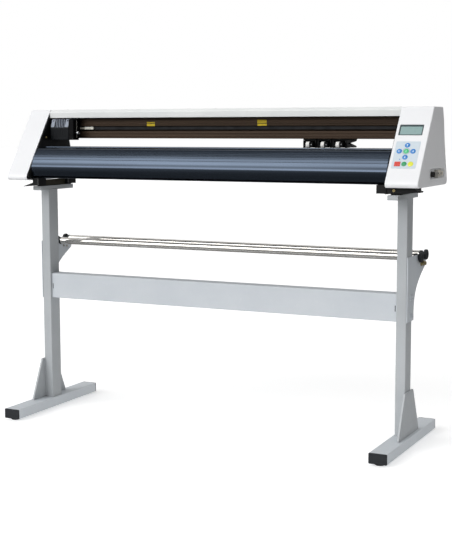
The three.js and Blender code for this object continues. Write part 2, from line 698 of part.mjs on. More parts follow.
function carriageCover() {
  const back = 37.7;
  const outline = [
    [-2, CARRIAGE_BOTTOM, 2],
    [-2, 1028, 2],
    [10, CARRIAGE_TOP, 2],
    [back, CARRIAGE_TOP],
    [back, CARRIAGE_BOTTOM],
  ];
  const span = [CARRIAGE_X[0], CARRIAGE_SPLIT_X - GAP];
  const outer = extrudeX(roundedOutline(outline), span);
  const hollow = roundedOutline(inset(outline, 2.5));
  const core = extrudeX(hollow, [span[0] + 2.5, span[1] - 2.5]).translate(0, 5, 0);
  add("carriage_cover", cut(outer, core), 0x4a505c, 0.5, 0);
}

// The tool clamp, which the carriage lowers onto the material.
function toolSlider() {
  const x = [CARRIAGE_SPLIT_X + 0.5, CARRIAGE_X[1]];
  const block = box(x, [-2, 20.5], [987, CARRIAGE_TOP - 3]);
  const seat = rod("z", 6, [980, CARRIAGE_TOP + 5], [(x[0] + x[1]) / 2, 9], 20);
  add("tool_slider", cut(block, seat), ...BLACK_PLASTIC);
}

function toolKnob() {
  const start = CARRIAGE_X[1] + GAP;
  const stem = rod("x", 3, [start, start + 7], [9, 1009], 12);
  const head = rod("x", 6.5, [start + 6, start + 17], [9, 1009], 20);
  add("tool_clamp_knob", join(stem, head), ...STEEL);
}

function beltClampBar() {
  const bar = box([CARRIAGE_X[1] + GAP, -538], [41.5, 48.2], [1022.5, 1029.5]);
  const pad = box([-539, -509], [41.5, 48.2], [1019.8, 1032.2]);
  add("belt_clamp_bar", join(bar, pad), 0xd9d6c4, 0.5, 0);
}

// ---------- head: pinch rollers ----------

// A clamp on the beam's underside, with two ears and the pin that the arm turns on.
function pinchClamp(number, x) {
  const half = PINCH_WIDTH / 2;
  const [pinY, pinZ] = PINCH_PIN;
  const top = BEAM_Z[0] - GAP;
  const low = top - 5.4;
  const base = box([x - half, x + half], [62, 98], [low, top]);
  const ear = (x0) => box([x0, x0 + 3], [pinY - 6, pinY + 8], [pinZ - 5, low + 1]);
  const pin = rod("x", 2.9, [x - half + 1, x + half - 1], PINCH_PIN, 12);
  const pieces = [base, ear(x - half), ear(x + half - 3), pin];
  if (number === ROLLER_X.length) {
    pieces.push(pinchFork(x + half - 1, top));
  }
  add(`pinch_clamp_${number}`, join(...pieces), ...BLACK_METAL);
}

// The outermost clamp's end block, with a V-shaped notch in its free end.
function pinchFork(x, top) {
  const length = 29;
  const low = PLATEN_TOP + 3;
  const shape = new THREE.Shape();
  shape.moveTo(x, low);
  shape.lineTo(x + length - 2, low);
  shape.lineTo(x + length - 3.5, 967);
  shape.lineTo(x + 5.7, 976);
  shape.lineTo(x + length - 3.5, 982);
  shape.lineTo(x + length, top);
  shape.lineTo(x, top);
  const geometry = new THREE.ExtrudeGeometry(shape, { depth: 30, bevelEnabled: false });
  return geometry.rotateX(Math.PI / 2).translate(0, 92, 0);
}

function pinchArm(number, x) {
  const inner = ROLLER_WIDTH / 2 + 1.5;
  const half = PINCH_WIDTH / 2 - 3.5;
  const z = [962.5, 980];
  const body = box([x - half, x + half], [64, 92], z);
  const cheeks = [
    box([x - inner - 3, x - inner], [43, 66], [965, 978]),
    box([x + inner, x + half], [39, 66], z),
  ];
  const bore = rod("x", 2.9 + GAP, [x - half - 1, x + half + 1], PINCH_PIN, 16);
  const axleHole = rod("x", 2.5 + GAP, [x - inner - 4, x + inner + 6], [FEED_Y, ROLLER_Z], 16);
  add(`pinch_arm_${number}`, cut(join(body, ...cheeks), bore, axleHole), ...BLACK_PLASTIC);
}

function pinchRoller(number, x) {
  const half = ROLLER_WIDTH / 2;
  const axleEnd = half + 6;
  const profile = [
    [0, -axleEnd],
    [2.5, -axleEnd],
    [2.5, -half],
    [ROLLER_RADIUS - 1, -half],
    [ROLLER_RADIUS, -half + 1],
    [ROLLER_RADIUS, half - 1],
    [ROLLER_RADIUS - 1, half],
    [2.5, half],
    [2.5, axleEnd],
    [0, axleEnd],
  ].map(([r, along]) => new THREE.Vector2(r, along));
  const geometry = new THREE.LatheGeometry(profile, 24).rotateZ(-Math.PI / 2);
  add(`pinch_roller_${number}`, geometry, 0xe4ddd0, 0.6, 0).position.set(x, FEED_Y, ROLLER_Z);
}

// ---------- assembly ----------

for (const [side, sign] of Object.entries({ left: -1, right: 1 })) {
  foot(side, sign * FOOT_X);
  for (const [end, direction] of Object.entries({ front: -1, rear: 1 })) {
    footCap(side, end, sign * FOOT_X, direction);
    glide(side, end, sign * FOOT_X, direction * GLIDE_Y);
  }
}
column("left", -COLUMN_X, 0);
column("right", COLUMN_X, Math.PI);
crossbeam();
rollBracket("left", -BRACKET_OUTER_X);
rollBracket("right", BRACKET_INNER_X);
for (const [name, centre] of Object.entries(ROLL_BARS)) {
  rollBar(name, centre);
}

leftMountBracket();
rightMountBracket();
leftHousing();
rightHousing();
sidePlate("left", LEFT_PLATE_X, [-735, -674], MOTOR_SHELF_Z);
sidePlate("right", RIGHT_PLATE_X, [651, 726], MOTOR_SHELF_Z);
beam();
platen();
cuttingStrip();
topCover();
panel();
portPanel();
gritShaft();
feedMotor();
carriageMotor();
pulley("drive_pulley", DRIVE_X);
pulley("idler_pulley", IDLER_X);
driveBelt();
controlBoard();
powerSupply();
carriageBody();
carriageCover();
toolSlider();
toolKnob();
beltClampBar();
ROLLER_X.forEach((x, i) => {
  pinchClamp(i + 1, x);
  pinchArm(i + 1, x);
  pinchRoller(i + 1, x);
});

export default root;
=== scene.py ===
"""The looks of a vinyl cutter on its stand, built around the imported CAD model.

Shapes are written in millimetres in the model's own frame: +Z up, -Y towards the operator,
+X along the head towards the control panel. Each finished piece is scaled to metres.
"""
import math

import bmesh
import bpy
from mathutils import Matrix, Vector


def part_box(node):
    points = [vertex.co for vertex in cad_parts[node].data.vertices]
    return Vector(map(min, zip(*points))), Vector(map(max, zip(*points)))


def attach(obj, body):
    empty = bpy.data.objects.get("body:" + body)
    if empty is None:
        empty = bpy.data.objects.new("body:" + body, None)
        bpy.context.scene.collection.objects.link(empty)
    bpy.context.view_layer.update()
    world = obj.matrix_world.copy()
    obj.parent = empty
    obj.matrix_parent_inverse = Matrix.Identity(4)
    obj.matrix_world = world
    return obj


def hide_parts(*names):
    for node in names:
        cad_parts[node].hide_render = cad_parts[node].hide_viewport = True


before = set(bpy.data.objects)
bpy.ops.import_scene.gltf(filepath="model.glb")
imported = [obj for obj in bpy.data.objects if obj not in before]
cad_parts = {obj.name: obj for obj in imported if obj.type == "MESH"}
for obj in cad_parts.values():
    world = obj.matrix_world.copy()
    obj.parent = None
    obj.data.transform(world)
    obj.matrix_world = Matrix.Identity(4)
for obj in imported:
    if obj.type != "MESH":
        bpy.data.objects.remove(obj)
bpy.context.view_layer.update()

MM = 0.001
SIDES = {"left": -1, "right": 1}
ENDS = {"front": -1, "rear": 1}


def span(node):
    """The CAD node's lowest and highest corners, in millimetres."""
    low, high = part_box(node)
    return low / MM, high / MM


def middle(node):
    low, high = span(node)
    return (low + high) / 2


# ---------- places: where a drawing's own axes (a, b, height) point in the model ----------

ALONG_X = Matrix(((0, 0, 1, 0), (1, 0, 0, 0), (0, 1, 0, 0), (0, 0, 0, 1)))
ALONG_Y = Matrix(((1, 0, 0, 0), (0, 0, 1, 0), (0, 1, 0, 0), (0, 0, 0, 1)))
ALONG_Z = Matrix.Identity(4)


def at(x, y, z, place=ALONG_Z):
    """The same axes with their origin moved to a point."""
    return Matrix.Translation((x, y, z)) @ place


# The control panel's slope: a runs across the machine, b up the slope, and the height outwards.
PANEL_FOOT = Vector((0, -135, 868))
PANEL_HEAD = Vector((0, 18, 1092))
SLOPE = math.atan2(PANEL_HEAD.z - PANEL_FOOT.z, PANEL_HEAD.y - PANEL_FOOT.y)
PANEL = Matrix.Translation(PANEL_FOOT) @ Matrix.Rotation(SLOPE, 4, "X")


# ---------- outlines ----------

def rounded(corners, steps=8):
    """A closed outline through corners (a, b, trim), each rounded by a curve that starts trim away."""
    points = []
    for i, corner in enumerate(corners):
        here = Vector(corner[:2])
        trim = corner[2] if len(corner) > 2 else 0
        if not trim:
            points.append(here)
            continue
        before = Vector(corners[i - 1][:2]) - here
        after = Vector(corners[(i + 1) % len(corners)][:2]) - here
        start = here + before.normalized() * trim
        end = here + after.normalized() * trim
        for step in range(steps + 1):
            t = step / steps
            points.append(start * (1 - t) ** 2 + here * 2 * t * (1 - t) + end * t ** 2)
    return points


def rectangle(a, b, width, height, radius=0, steps=4):
    """A rectangle centred on (a, b) with round corners."""
    if not radius:
        signs = ((-1, -1), (1, -1), (1, 1), (-1, 1))
        return [Vector((a + sa * width / 2, b + sb * height / 2)) for sa, sb in signs]
    points = []
    corners = ((1, 1, 0), (-1, 1, 90), (-1, -1, 180), (1, -1, 270))
    for sa, sb, start in corners:
        centre = Vector((a + sa * (width / 2 - radius), b + sb * (height / 2 - radius)))
        for step in range(steps + 1):
            angle = math.radians(start + 90 * step / steps)
            points.append(centre + radius * Vector((math.cos(angle), math.sin(angle))))
    return points


def circle(a, b, radius, steps=32):
    turns = [2 * math.pi * i / steps for i in range(steps)]
    return [Vector((a + radius * math.cos(t), b + radius * math.sin(t))) for t in turns]


def bezier(p0, p1, p2, p3, steps):
    """Points along a cubic curve, without its first point."""
    points = []
    for step in range(1, steps + 1):
        t = step / steps
        weights = ((1 - t) ** 3, 3 * t * (1 - t) ** 2, 3 * t * t * (1 - t), t ** 3)
        points.append(sum((Vector(p) * w for p, w in zip((p0, p1, p2, p3), weights)), Vector((0, 0))))
    return points


def grooved(points, grooves, depth, flank=0.25):
    """A line with narrow grooves cut into its right-hand side, at (start, end) distances along it."""
    result = [points[0]]
    travelled = 0
    for start, end in zip(points, points[1:]):
        length = (end - start).length
        along = (end - start) / length
        inwards = Vector((along.y, -along.x)) * depth
        for low, high in grooves:
            marks = ((low, 0), (low + flank, 1), (high - flank, 1), (high, 0))
            for distance, sunk in marks:
                if travelled <= distance < travelled + length:
                    result.append(start + along * (distance - travelled) + inwards * sunk)
        travelled += length
        sunk = any(low + flank < travelled < high - flank for low, high in grooves)
        result.append(end + inwards * sunk)
    return result


# ---------- solids ----------

def prism(outline, low, high, place=ALONG_X):
    """A closed prism of an outline between two heights."""
    bm = bmesh.new()
    ends = [[bm.verts.new(place @ Vector((a, b, h))) for a, b in outline] for h in (low, high)]
    bm.faces.new(ends[0])
    bm.faces.new(list(reversed(ends[1])))
    for i, vert in enumerate(ends[0]):
        bm.faces.new((ends[0][i - 1], vert, ends[1][i], ends[1][i - 1]))
    bmesh.ops.recalc_face_normals(bm, faces=bm.faces)
    return bm


def block(x, y, z):
    """A box between two values on each axis."""
    outline = [(y[0], z[0]), (y[1], z[0]), (y[1], z[1]), (y[0], z[1])]
    return prism(outline, x[0], x[1])


def turned(profile, place=ALONG_Z, sides=48, ripple=None):
    """A closed solid turned from (radius, height) pairs. A third value makes a ring a polygon.

    ripple(angle, height) scales the radius, for flutes, teeth and knurls.
    """
    bm = bmesh.new()
    rings = []
    for radius, height, *polygon in profile:
        if radius == 0:
            rings.append([bm.verts.new(place @ Vector((0, 0, height)))])
            continue
        ring = []
        for i in range(sides):
            angle = 2 * math.pi * i / sides
            size = radius
            if polygon:
                half = math.pi / polygon[0]
                size *= math.cos(half) / math.cos((angle % (2 * half)) - half)
            if ripple:
                size *= ripple(angle, height)
            point = Vector((size * math.cos(angle), size * math.sin(angle), height))
            ring.append(bm.verts.new(place @ point))
        rings.append(ring)
    for low, high in zip(rings, rings[1:]):
        for i in range(sides):
            lower = [low[i % len(low)], low[(i + 1) % len(low)]]
            upper = [high[(i + 1) % len(high)], high[i % len(high)]]
            bm.faces.new(list(dict.fromkeys(lower + upper)))
    bmesh.ops.recalc_face_normals(bm, faces=bm.faces)
    return bm


def swept(path, radius, sides=10):
    """A round bead along a path of points; radius is a function of the point's number."""
    bm = bmesh.new()
    rings = []
    for i, point in enumerate(path):
        along = (path[min(i + 1, len(path) - 1)] - path[max(i - 1, 0)]).normalized()
        side = (side - along * side.dot(along)).normalized() if rings else along.orthogonal().normalized()
        other = along.cross(side)
        ring = []
        for k in range(sides):
            turn = 2 * math.pi * k / sides
            ring.append(bm.verts.new(point + radius(i) * (math.cos(turn) * side + math.sin(turn) * other)))
        rings.append(ring)
    for low, high in zip(rings, rings[1:]):
        for k in range(sides):
            bm.faces.new((low[k], low[(k + 1) % sides], high[(k + 1) % sides], high[k]))
    bm.faces.new(rings[0])
    bm.faces.new(list(reversed(rings[-1])))
    bmesh.ops.recalc_face_normals(bm, faces=bm.faces)
    return bm


def soften(bm, width, segments=2, angle=32, only=None):
    """Rounds the sharp edges, or those that only(edge) picks."""
    edges = [e for e in bm.edges if e.is_manifold and e.calc_face_angle(0) > math.radians(angle)]
    if only:
        edges = [e for e in edges if only(e)]
    bmesh.ops.bevel(
        bm,
        geom=edges,
        offset=width,
        offset_type="OFFSET",
        segments=segments,
        profile=0.5,
        affect="EDGES",
        clamp_overlap=True,
    )
    return bm


def mesh_of(bm):
    mesh = bpy.data.meshes.new("part")
    bm.to_mesh(mesh)
    bm.free()
    return mesh


def merged(solids):
    """Several solids in one bmesh, side by side."""
    bm = bmesh.new()
    for part in solids:
        mesh = mesh_of(part)
        bm.from_mesh(mesh)
        bpy.data.meshes.remove(mesh)
    return bm


def boolean(part, tools, operation="DIFFERENCE"):
    """The part with all the tools' shapes cut out of it, or joined to it."""
    objects = [bpy.data.objects.new("part", mesh_of(bm)) for bm in (part, merged(tools))]
    for obj in objects:
        bpy.context.scene.collection.objects.link(obj)
    cut = objects[0].modifiers.new("boolean", "BOOLEAN")
    cut.operation = operation
    cut.solver = "EXACT"
    cut.object = objects[1]
    depsgraph = bpy.context.evaluated_depsgraph_get()
    result = bmesh.new()
    result.from_mesh(objects[0].evaluated_get(depsgraph).to_mesh())
    for obj in objects:
        bpy.data.meshes.remove(obj.data)
    bmesh.ops.dissolve_limit(result, angle_limit=math.radians(0.5), verts=result.verts, edges=result.edges)
    return result


def piece(name, solids, material, body, replaced=(), smooth=35):
    """One finished piece: solids in millimetres, shaded, painted and riding on its CAD body."""
    bm = merged(solids)
    bmesh.ops.scale(bm, vec=(MM, MM, MM), verts=bm.verts)
    mesh = mesh_of(bm)
    mesh.name = name
    mesh.shade_smooth()
    mesh.set_sharp_from_angle(angle=math.radians(smooth))
    mesh.materials.append(material)
    made = bpy.data.objects.new(name, mesh)
    bpy.context.scene.collection.objects.link(made)
    normals = made.modifiers.new("even_normals", "WEIGHTED_NORMAL")
    normals.keep_sharp = True
    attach(made, body)
    if replaced:
        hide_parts(*replaced)
    return made


def dress(material, *nodes, bevel=0.8):
    """Keeps CAD nodes as they are, with a material and softly broken edges."""
    for node in nodes:
        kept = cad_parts[node]
        for material_slot in kept.material_slots:
            material_slot.material = material
        weld = kept.modifiers.new("weld", "WELD")
        weld.merge_threshold = 0.01 * MM
        flatten = kept.modifiers.new("flatten", "DECIMATE")
        flatten.decimate_type = "DISSOLVE"
        flatten.angle_limit = math.radians(1)
        edges = kept.modifiers.new("edges", "BEVEL")
        edges.width = bevel * MM
        edges.segments = 3
        edges.limit_method = "ANGLE"
        edges.angle_limit = math.radians(32)
        edges.harden_normals = True


def screw(place, radius, height, drive=6, shank=2):
    """A low round head with a socket of drive sides, on a short shank."""
    socket = radius * 0.45
    profile = [
        (0, -shank), (radius * 0.5, -shank), (radius * 0.5, 0), (radius, 0), (radius, height * 0.35),
        (radius * 0.93, height * 0.7), (radius * 0.75, height), (socket * 1.15, height),
        (socket, height * 0.94, drive), (socket, height * 0.35, drive), (0, height * 0.3),
    ]
    return turned(profile, place, 24)


def hex_bolt(place, radius, height, shank=3):
    """A hexagon head on a washer."""
    washer = radius * 1.35
    profile = [
        (0, -shank), (radius * 0.55, -shank), (radius * 0.55, 0), (washer, 0), (washer, 0.8),
        (washer - 0.3, 1.1), (radius * 0.98, 1.1, 6), (radius, 1.4, 6), (radius, height * 0.8, 6),
        (radius * 0.86, height), (radius * 0.6, height), (0, height * 0.97),
    ]
    return turned(profile, place, 24)


def facing(point, direction):
    """Axes at a point whose height runs in a direction."""
    turn = Vector(direction).to_track_quat("Z", "Y").to_matrix().to_4x4()
    return Matrix.Translation(point) @ turn


# ---------- materials ----------

def colour(code):
    """A linear colour from its usual six-digit code."""
    values = []
    for i in (1, 3, 5):
        value = int(code[i:i + 2], 16) / 255
        values.append(value / 12.92 if value <= 0.04045 else ((value + 0.055) / 1.055) ** 2.4)
    return (*values, 1)


class Nodes:
    """A node tree, with short ways to add its nodes and link them."""

    def __init__(self, tree):
        self.tree = tree

    def node(self, kind, **settings):
        made = self.tree.nodes.new(kind)
        for key, value in settings.items():
            setattr(made, key, value)
        return made

    def feed(self, target, value):
        """Links a socket, or sets a plain value."""
        if isinstance(value, bpy.types.NodeSocket):
            self.tree.links.new(value, target)
        else:
            target.default_value = value

    def remap(self, value, low, high, start=0.3, end=0.7):
        """A value between start and end spread from low to high."""
        mapped = self.node("ShaderNodeMapRange", interpolation_type="SMOOTHSTEP")
        self.feed(mapped.inputs["Value"], value)
        for socket, number in zip(("From Min", "From Max", "To Min", "To Max"), (start, end, low, high)):
            mapped.inputs[socket].default_value = number
        return mapped.outputs["Result"]


class Finish(Nodes):
    """One procedural material: a base colour with variation, a roughness with variation, and a relief."""

    def __init__(self, name, metallic=0.0, specular=0.5, coat=0.0, coat_roughness=0.1):
        self.material = bpy.data.materials.new(name)
        self.material.use_nodes = True
        super().__init__(self.material.node_tree)
        self.shader = self.tree.nodes["Principled BSDF"]
        self.shader.inputs["Metallic"].default_value = metallic
        self.shader.inputs["Specular IOR Level"].default_value = specular
        self.shader.inputs["Coat Weight"].default_value = coat
        self.shader.inputs["Coat Roughness"].default_value = coat_roughness
        self.position = self.tree.nodes.new("ShaderNodeTexCoord").outputs["Object"]
        self.relief = None

    def stretched(self, stretch):
        """The position scaled differently along each axis."""
        mapping = self.node("ShaderNodeMapping")
        self.feed(mapping.inputs["Vector"], self.position)
        mapping.inputs["Scale"].default_value = stretch
        return mapping.outputs["Vector"]

    def noise(self, scale, detail=3.0, roughness=0.55, stretch=None):
        texture = self.node("ShaderNodeTexNoise")
        self.feed(texture.inputs["Vector"], self.stretched(stretch) if stretch else self.position)
        texture.inputs["Scale"].default_value = scale
        texture.inputs["Detail"].default_value = detail
        texture.inputs["Roughness"].default_value = roughness
        return texture.outputs["Fac"]

    def blend(self, amount, a, b, mode="MIX"):
        """A mix of two colours, each a socket or a plain value."""
        mix = self.node("ShaderNodeMixRGB", blend_type=mode)
        self.feed(mix.inputs["Fac"], amount)
        self.feed(mix.inputs["Color1"], a)
        self.feed(mix.inputs["Color2"], b)
        return mix.outputs["Color"]

    def paint(self, base, other, scale=5.0, strength=1.0, stretch=None):
        """The base colour drifting towards another one in soft patches."""
        patches = self.remap(self.noise(scale, 4.0, 0.6, stretch), 0.0, strength)
        return self.blend(patches, base, other)

    def rough(self, low, high, scale=20.0, stretch=None):
        spots = self.noise(scale, 4.0, 0.6, stretch)
        self.feed(self.shader.inputs["Roughness"], self.remap(spots, low, high))

    def bump(self, height, strength, distance):
        """Adds a relief, in metres, on top of any earlier one."""
        bump = self.node("ShaderNodeBump")
        bump.inputs["Strength"].default_value = strength
        bump.inputs["Distance"].default_value = distance
        self.feed(bump.inputs["Height"], height)
        if self.relief:
            self.feed(bump.inputs["Normal"], self.relief)
        self.relief = bump.outputs["Normal"]
        self.feed(self.shader.inputs["Normal"], self.relief)

    def done(self, base):
        self.feed(self.shader.inputs["Base Color"], base)
        return self.material


def powder_coat(name, base, other, dust):
    """Satin powder coat: orange peel, faint mottling and a little dust."""
    finish = Finish(name, specular=0.5)
    finish.rough(0.36, 0.52, 12)
    finish.bump(finish.noise(420, 2), 0.25, 0.00025)
    finish.bump(finish.noise(9, 2), 0.12, 0.002)
    coat = finish.paint(colour(base), colour(other), 4, 0.7)
    specks = finish.remap(finish.noise(60, 5, 0.7), 0, 0.35, 0.55, 0.8)
    return finish.done(finish.blend(specks, coat, colour(dust)))


def moulded(name, base, other, low=0.45, high=0.6, spark=700, depth=0.00012, specular=0.4):
    """Moulded plastic with a fine eroded texture."""
    finish = Finish(name, specular=specular)
    finish.rough(low, high, 30)
    finish.bump(finish.noise(spark, 2, 0.6), 0.35, depth)
    fine = finish.remap(finish.noise(spark, 2), 0, 0.25)
    mottled = finish.paint(colour(base), colour(other), 8, 0.8)
    return finish.done(finish.blend(fine, mottled, colour(other)))


def white_shell():
    """Smooth white moulding: a slight waviness and the faintest yellowing in patches."""
    finish = Finish("white_shell", specular=0.5, coat=0.15, coat_roughness=0.25)
    finish.rough(0.3, 0.42, 18)
    finish.bump(finish.noise(7, 2), 0.1, 0.003)
    finish.bump(finish.noise(900, 2), 0.15, 0.00006)
    base = finish.paint(colour("#f1f2f4"), colour("#ebecee"), 3.5, 0.7)
    speckle = finish.remap(finish.noise(1400, 2), 0, 0.12, 0.5, 0.7)
    return finish.done(finish.blend(speckle, base, colour("#dfe0e0")))


def anodised(name, base, other, metallic=0.6, low=0.28, high=0.42, specular=0.5, line=260):
    """Anodised extrusion: long die lines along X."""
    finish = Finish(name, metallic=metallic, specular=specular)
    die_lines = (0.6, line, line)
    finish.rough(low, high, 1, die_lines)
    finish.bump(finish.noise(1, 3, 0.6, die_lines), 0.25, 0.00012)
    base_colour = finish.paint(colour(base), colour(other), 1, 0.9, (1.2, line / 3, line / 3))
    clouds = finish.remap(finish.noise(3, 3), 0, 0.4)
    return finish.done(finish.blend(clouds, base_colour, colour(other)))


def brushed_metal(name, base, other, low=0.2, high=0.36, stretch=(30, 900, 900), depth=0.00005):
    """Bare metal with fine machining lines."""
    finish = Finish(name, metallic=1.0)
    finish.rough(low, high, 1, stretch)
    finish.bump(finish.noise(1, 3, 0.6, stretch), 0.3, depth)
    return finish.done(finish.paint(colour(base), colour(other), 1, 0.8, stretch))


def chrome():
    """Polished tube with faint draw lines and a few smudges."""
    finish = Finish("chrome_bar", metallic=0.78)
    smudges = finish.remap(finish.noise(24, 5, 0.7), 0.05, 0.16, 0.5, 0.75)
    finish.feed(finish.shader.inputs["Roughness"], smudges)
    finish.bump(finish.noise(1, 2, 0.5, (2, 500, 500)), 0.1, 0.00003)
    return finish.done(finish.paint(colour("#e4e1dc"), colour("#d4d1cb"), 10, 0.6))


def rubber(name, base, other, roughness=(0.7, 0.85)):
    """Matt rubber with a fine grain and dust."""
    finish = Finish(name, specular=0.3)
    finish.rough(*roughness, 40)
    finish.bump(finish.noise(1500, 3, 0.7), 0.4, 0.00012)
    base_colour = finish.paint(colour(base), colour(other), 25, 0.8)
    dust = finish.remap(finish.noise(220, 5, 0.7), 0, 0.3, 0.52, 0.75)
    return finish.done(finish.blend(dust, base_colour, colour(other)))


def gloss_key(name, base, other):
    """A glossy key cap with a slightly uneven surface."""
    finish = Finish(name, coat=0.3, coat_roughness=0.12)
    finish.rough(0.22, 0.34, 150)
    finish.bump(finish.noise(500, 2), 0.15, 0.00005)
    return finish.done(finish.paint(colour(base), colour(other), 180, 0.8))


def display_glass():
    """A liquid crystal window: a pale green-grey ground with the faint grid of its blank cells."""
    finish = Finish("display_glass", specular=0.6, coat=0.6, coat_roughness=0.05)
    finish.rough(0.18, 0.26, 60)
    cells = finish.node("ShaderNodeTexBrick", offset=0.0)
    finish.feed(cells.inputs["Vector"], finish.position)
    settings = {
        "Scale": 1.0,
        "Mortar Size": 0.0003,
        "Mortar Smooth": 0.3,
        "Brick Width": 0.0036,
        "Row Height": 0.0072,
        "Color1": colour("#86a5a3"),
        "Color2": colour("#819f9e"),
        "Mortar": colour("#90adab"),
    }
    for socket, value in settings.items():
        cells.inputs[socket].default_value = value
    drift = finish.remap(finish.noise(18, 3), 0, 0.5)
    return finish.done(finish.blend(drift, cells.outputs["Color"], colour("#8facab")))


def circuit_board():
    """Green solder mask with tracks under it."""
    finish = Finish("board_green", specular=0.5, coat=0.4)
    finish.rough(0.3, 0.45, 40)
    tracks = finish.node("ShaderNodeTexVoronoi", feature="DISTANCE_TO_EDGE")
    finish.feed(tracks.inputs["Vector"], finish.position)
    tracks.inputs["Scale"].default_value = 160
    line = finish.remap(tracks.outputs["Distance"], 1, 0, 0.02, 0.06)
    finish.bump(line, 0.4, 0.00008)
    return finish.done(finish.blend(line, colour("#1c5a36"), colour("#2f7a4c")))


def label_paper():
    """A blank yellow label."""
    finish = Finish("label_paper", specular=0.3)
    finish.rough(0.4, 0.55, 80)
    finish.bump(finish.noise(900, 3), 0.2, 0.00004)
    return finish.done(finish.paint(colour("#f0d42c"), colour("#dcbb20"), 60, 0.8))


FLOOR_GLOW = 0.34


def plain_floor():
    """A pale studio floor that glows a little, as a light table does."""
    finish = Finish("studio_floor", specular=0.1)
    finish.shader.inputs["Emission Color"].default_value = (1, 1, 1, 1)
    finish.shader.inputs["Emission Strength"].default_value = FLOOR_GLOW
    finish.rough(0.8, 0.9, 2)
    return finish.done(finish.paint(colour("#f6f6f6"), colour("#f3f3f3"), 0.5, 0.6))


POWDER = powder_coat("powder_coat", "#c3c8cd", "#b9bfc5", "#ced1d4")
# A darker copy of the stand's powder coat: painted shade for the posts under the head.
POWDER_PAINTED_SHADE = powder_coat("powder_coat_painted_shade", "#afb3b6", "#a5a9ac", "#bbbdbf")
# A lighter copy of the same powder coat: painted light for the feet near the floor.
POWDER_PAINTED_LIGHT = powder_coat("powder_coat_painted_light", "#cdd2d7", "#c4cacf", "#d6d9dc")
BLACK_PLASTIC = moulded("black_plastic", "#26292e", "#1f2226")
GLIDE = rubber("glide_rubber", "#1b1c1e", "#2a2b2d")
BLACK_METAL = moulded("black_metal", "#0c0d0f", "#131416", 0.4, 0.55, 500, 0.0001, 0.3)
WHITE = white_shell()
COVER = moulded("cover_paint", "#e9ebea", "#e0e3e2", 0.38, 0.5, 450, 0.0001, 0.5)
BEAM = anodised("beam_finish", "#4b3c30", "#3c3026", 0.6, 0.35, 0.5, 0.3)
PLATEN = anodised("platen_finish", "#454e5a", "#3c444f", 0.93, 0.1, 0.18)
STRIP = rubber("strip_pvc", "#1c1e21", "#292b2e", (0.5, 0.65))
CHROME = chrome()
STEEL = brushed_metal("steel", "#b9bbbd", "#9fa1a3")
PULLEY = brushed_metal("pulley_metal", "#c3c5c8", "#a8aaad", 0.25, 0.4, (300, 300, 900))
BRASS = brushed_metal("yellow_zinc", "#c9b88a", "#a8935c", 0.22, 0.38, (300, 300, 300))
GRIT = rubber("grit", "#6c6e70", "#9a9c9e", (0.45, 0.6))
BELT = rubber("belt_rubber", "#202022", "#303032")
CARRIAGE_BLACK = moulded("carriage_black", "#060709", "#0a0b0d", 0.45, 0.6, specular=0.12)
CARRIAGE_GREY = moulded("carriage_grey", "#0f1318", "#0c0f13", 0.38, 0.5, 600, 0.0001, 0.2)
# Light blue-grey for the cover's ribs and pads: a painted highlight on the dark cover.
CARRIAGE_PAINTED_HIGHLIGHT = moulded("carriage_painted_highlight", "#7d8797", "#727c8c", 0.22, 0.34, 600, 0.00006, 0.5)
CLAMP_DARK = moulded("clamp_dark", "#b3afa2", "#a39f92", 0.4, 0.55)
# Dark olive for a thin strip under the head: painted shade and reflection.
OLIVE_PAINTED_SHADE_AND_REFLECTION = anodised("olive_painted_shade_and_reflection", "#3e3b30", "#4a473b", 0.6, 0.35, 0.5, 0.3)
CREAM = moulded("clamp_cream", "#f6f5ec", "#ebe9dc", 0.4, 0.55)
ROLLER = rubber("roller_rubber", "#fbfaf7", "#f2f0eb", (0.45, 0.6))
DISPLAY = display_glass()
BEZEL = moulded("display_bezel", "#3c4a4e", "#334044", 0.3, 0.4)
FILM = moulded("keypad_film", "#d3dee6", "#ccd8e0", 0.4, 0.5, 1200, 0.00005)
BLUE = gloss_key("key_blue", "#3489d3", "#2577c0")
GREEN_LIGHT = gloss_key("key_green_light", "#56cf8e", "#3fb878")
GREEN = gloss_key("key_green", "#2ea368", "#238a55")
RED = gloss_key("key_red", "#e04a3c", "#c93a2e")
YELLOW = gloss_key("key_yellow", "#ecee4a", "#d9da35")
MARK = gloss_key("key_mark", "#eaf3fa", "#d8e6f2")
RING = moulded("key_ring", "#bccad2", "#adbbc4", 0.4, 0.5)
PORT_GREY = moulded("port_plastic", "#b5b2ab", "#a9a69f")
PORT_DARK = moulded("port_dark", "#2c2b2b", "#211f1f")
PORT_BEIGE = moulded("port_beige", "#f0ebe0", "#e4dfd3")
MOTOR = moulded("motor_case", "#1b1c1e", "#242527", 0.35, 0.5)
BOARD = circuit_board()
SUPPLY = brushed_metal("supply_case", "#b8babb", "#a3a5a6", 0.35, 0.5, (40, 900, 40))
LABEL = label_paper()


# ---------- camera, light and floor ----------

CAMERA_PLACE = (1.867, -3.703, 1.039)
CAMERA_YAW, CAMERA_PITCH, CAMERA_ROLL = 0.458, 0.120, -0.003
CAMERA_LENS = 80.9
KEY_LIGHT = Vector((-0.44, -0.8, 0.42))
BRIGHT_SKY = 4.6
DIM_SKY = 0.62
GROUND_GLOW = 0.25
KEY_SPREAD = (0.82, 1.0)
HORIZON_SPREAD = (0.02, 0.4)
SOFTBOX_PLACE = Vector((-0.9, -1.3, 2.9))
SOFTBOX_AIM = Vector((-0.1, 0, 0.9))
SOFTBOX_SIZE = (3.2, 1.1)
SOFTBOX_WATTS = 4
FLOORS = (("floor", 40, -0.002), ("floor_sheet", 1.7, 0))


def show(obj):
    bpy.context.scene.collection.objects.link(obj)


def studio():
    """A pale floor in soft light, seen from standing height to the right of the machine."""
    add_camera()
    add_sky()
    add_softbox()
    add_floors()


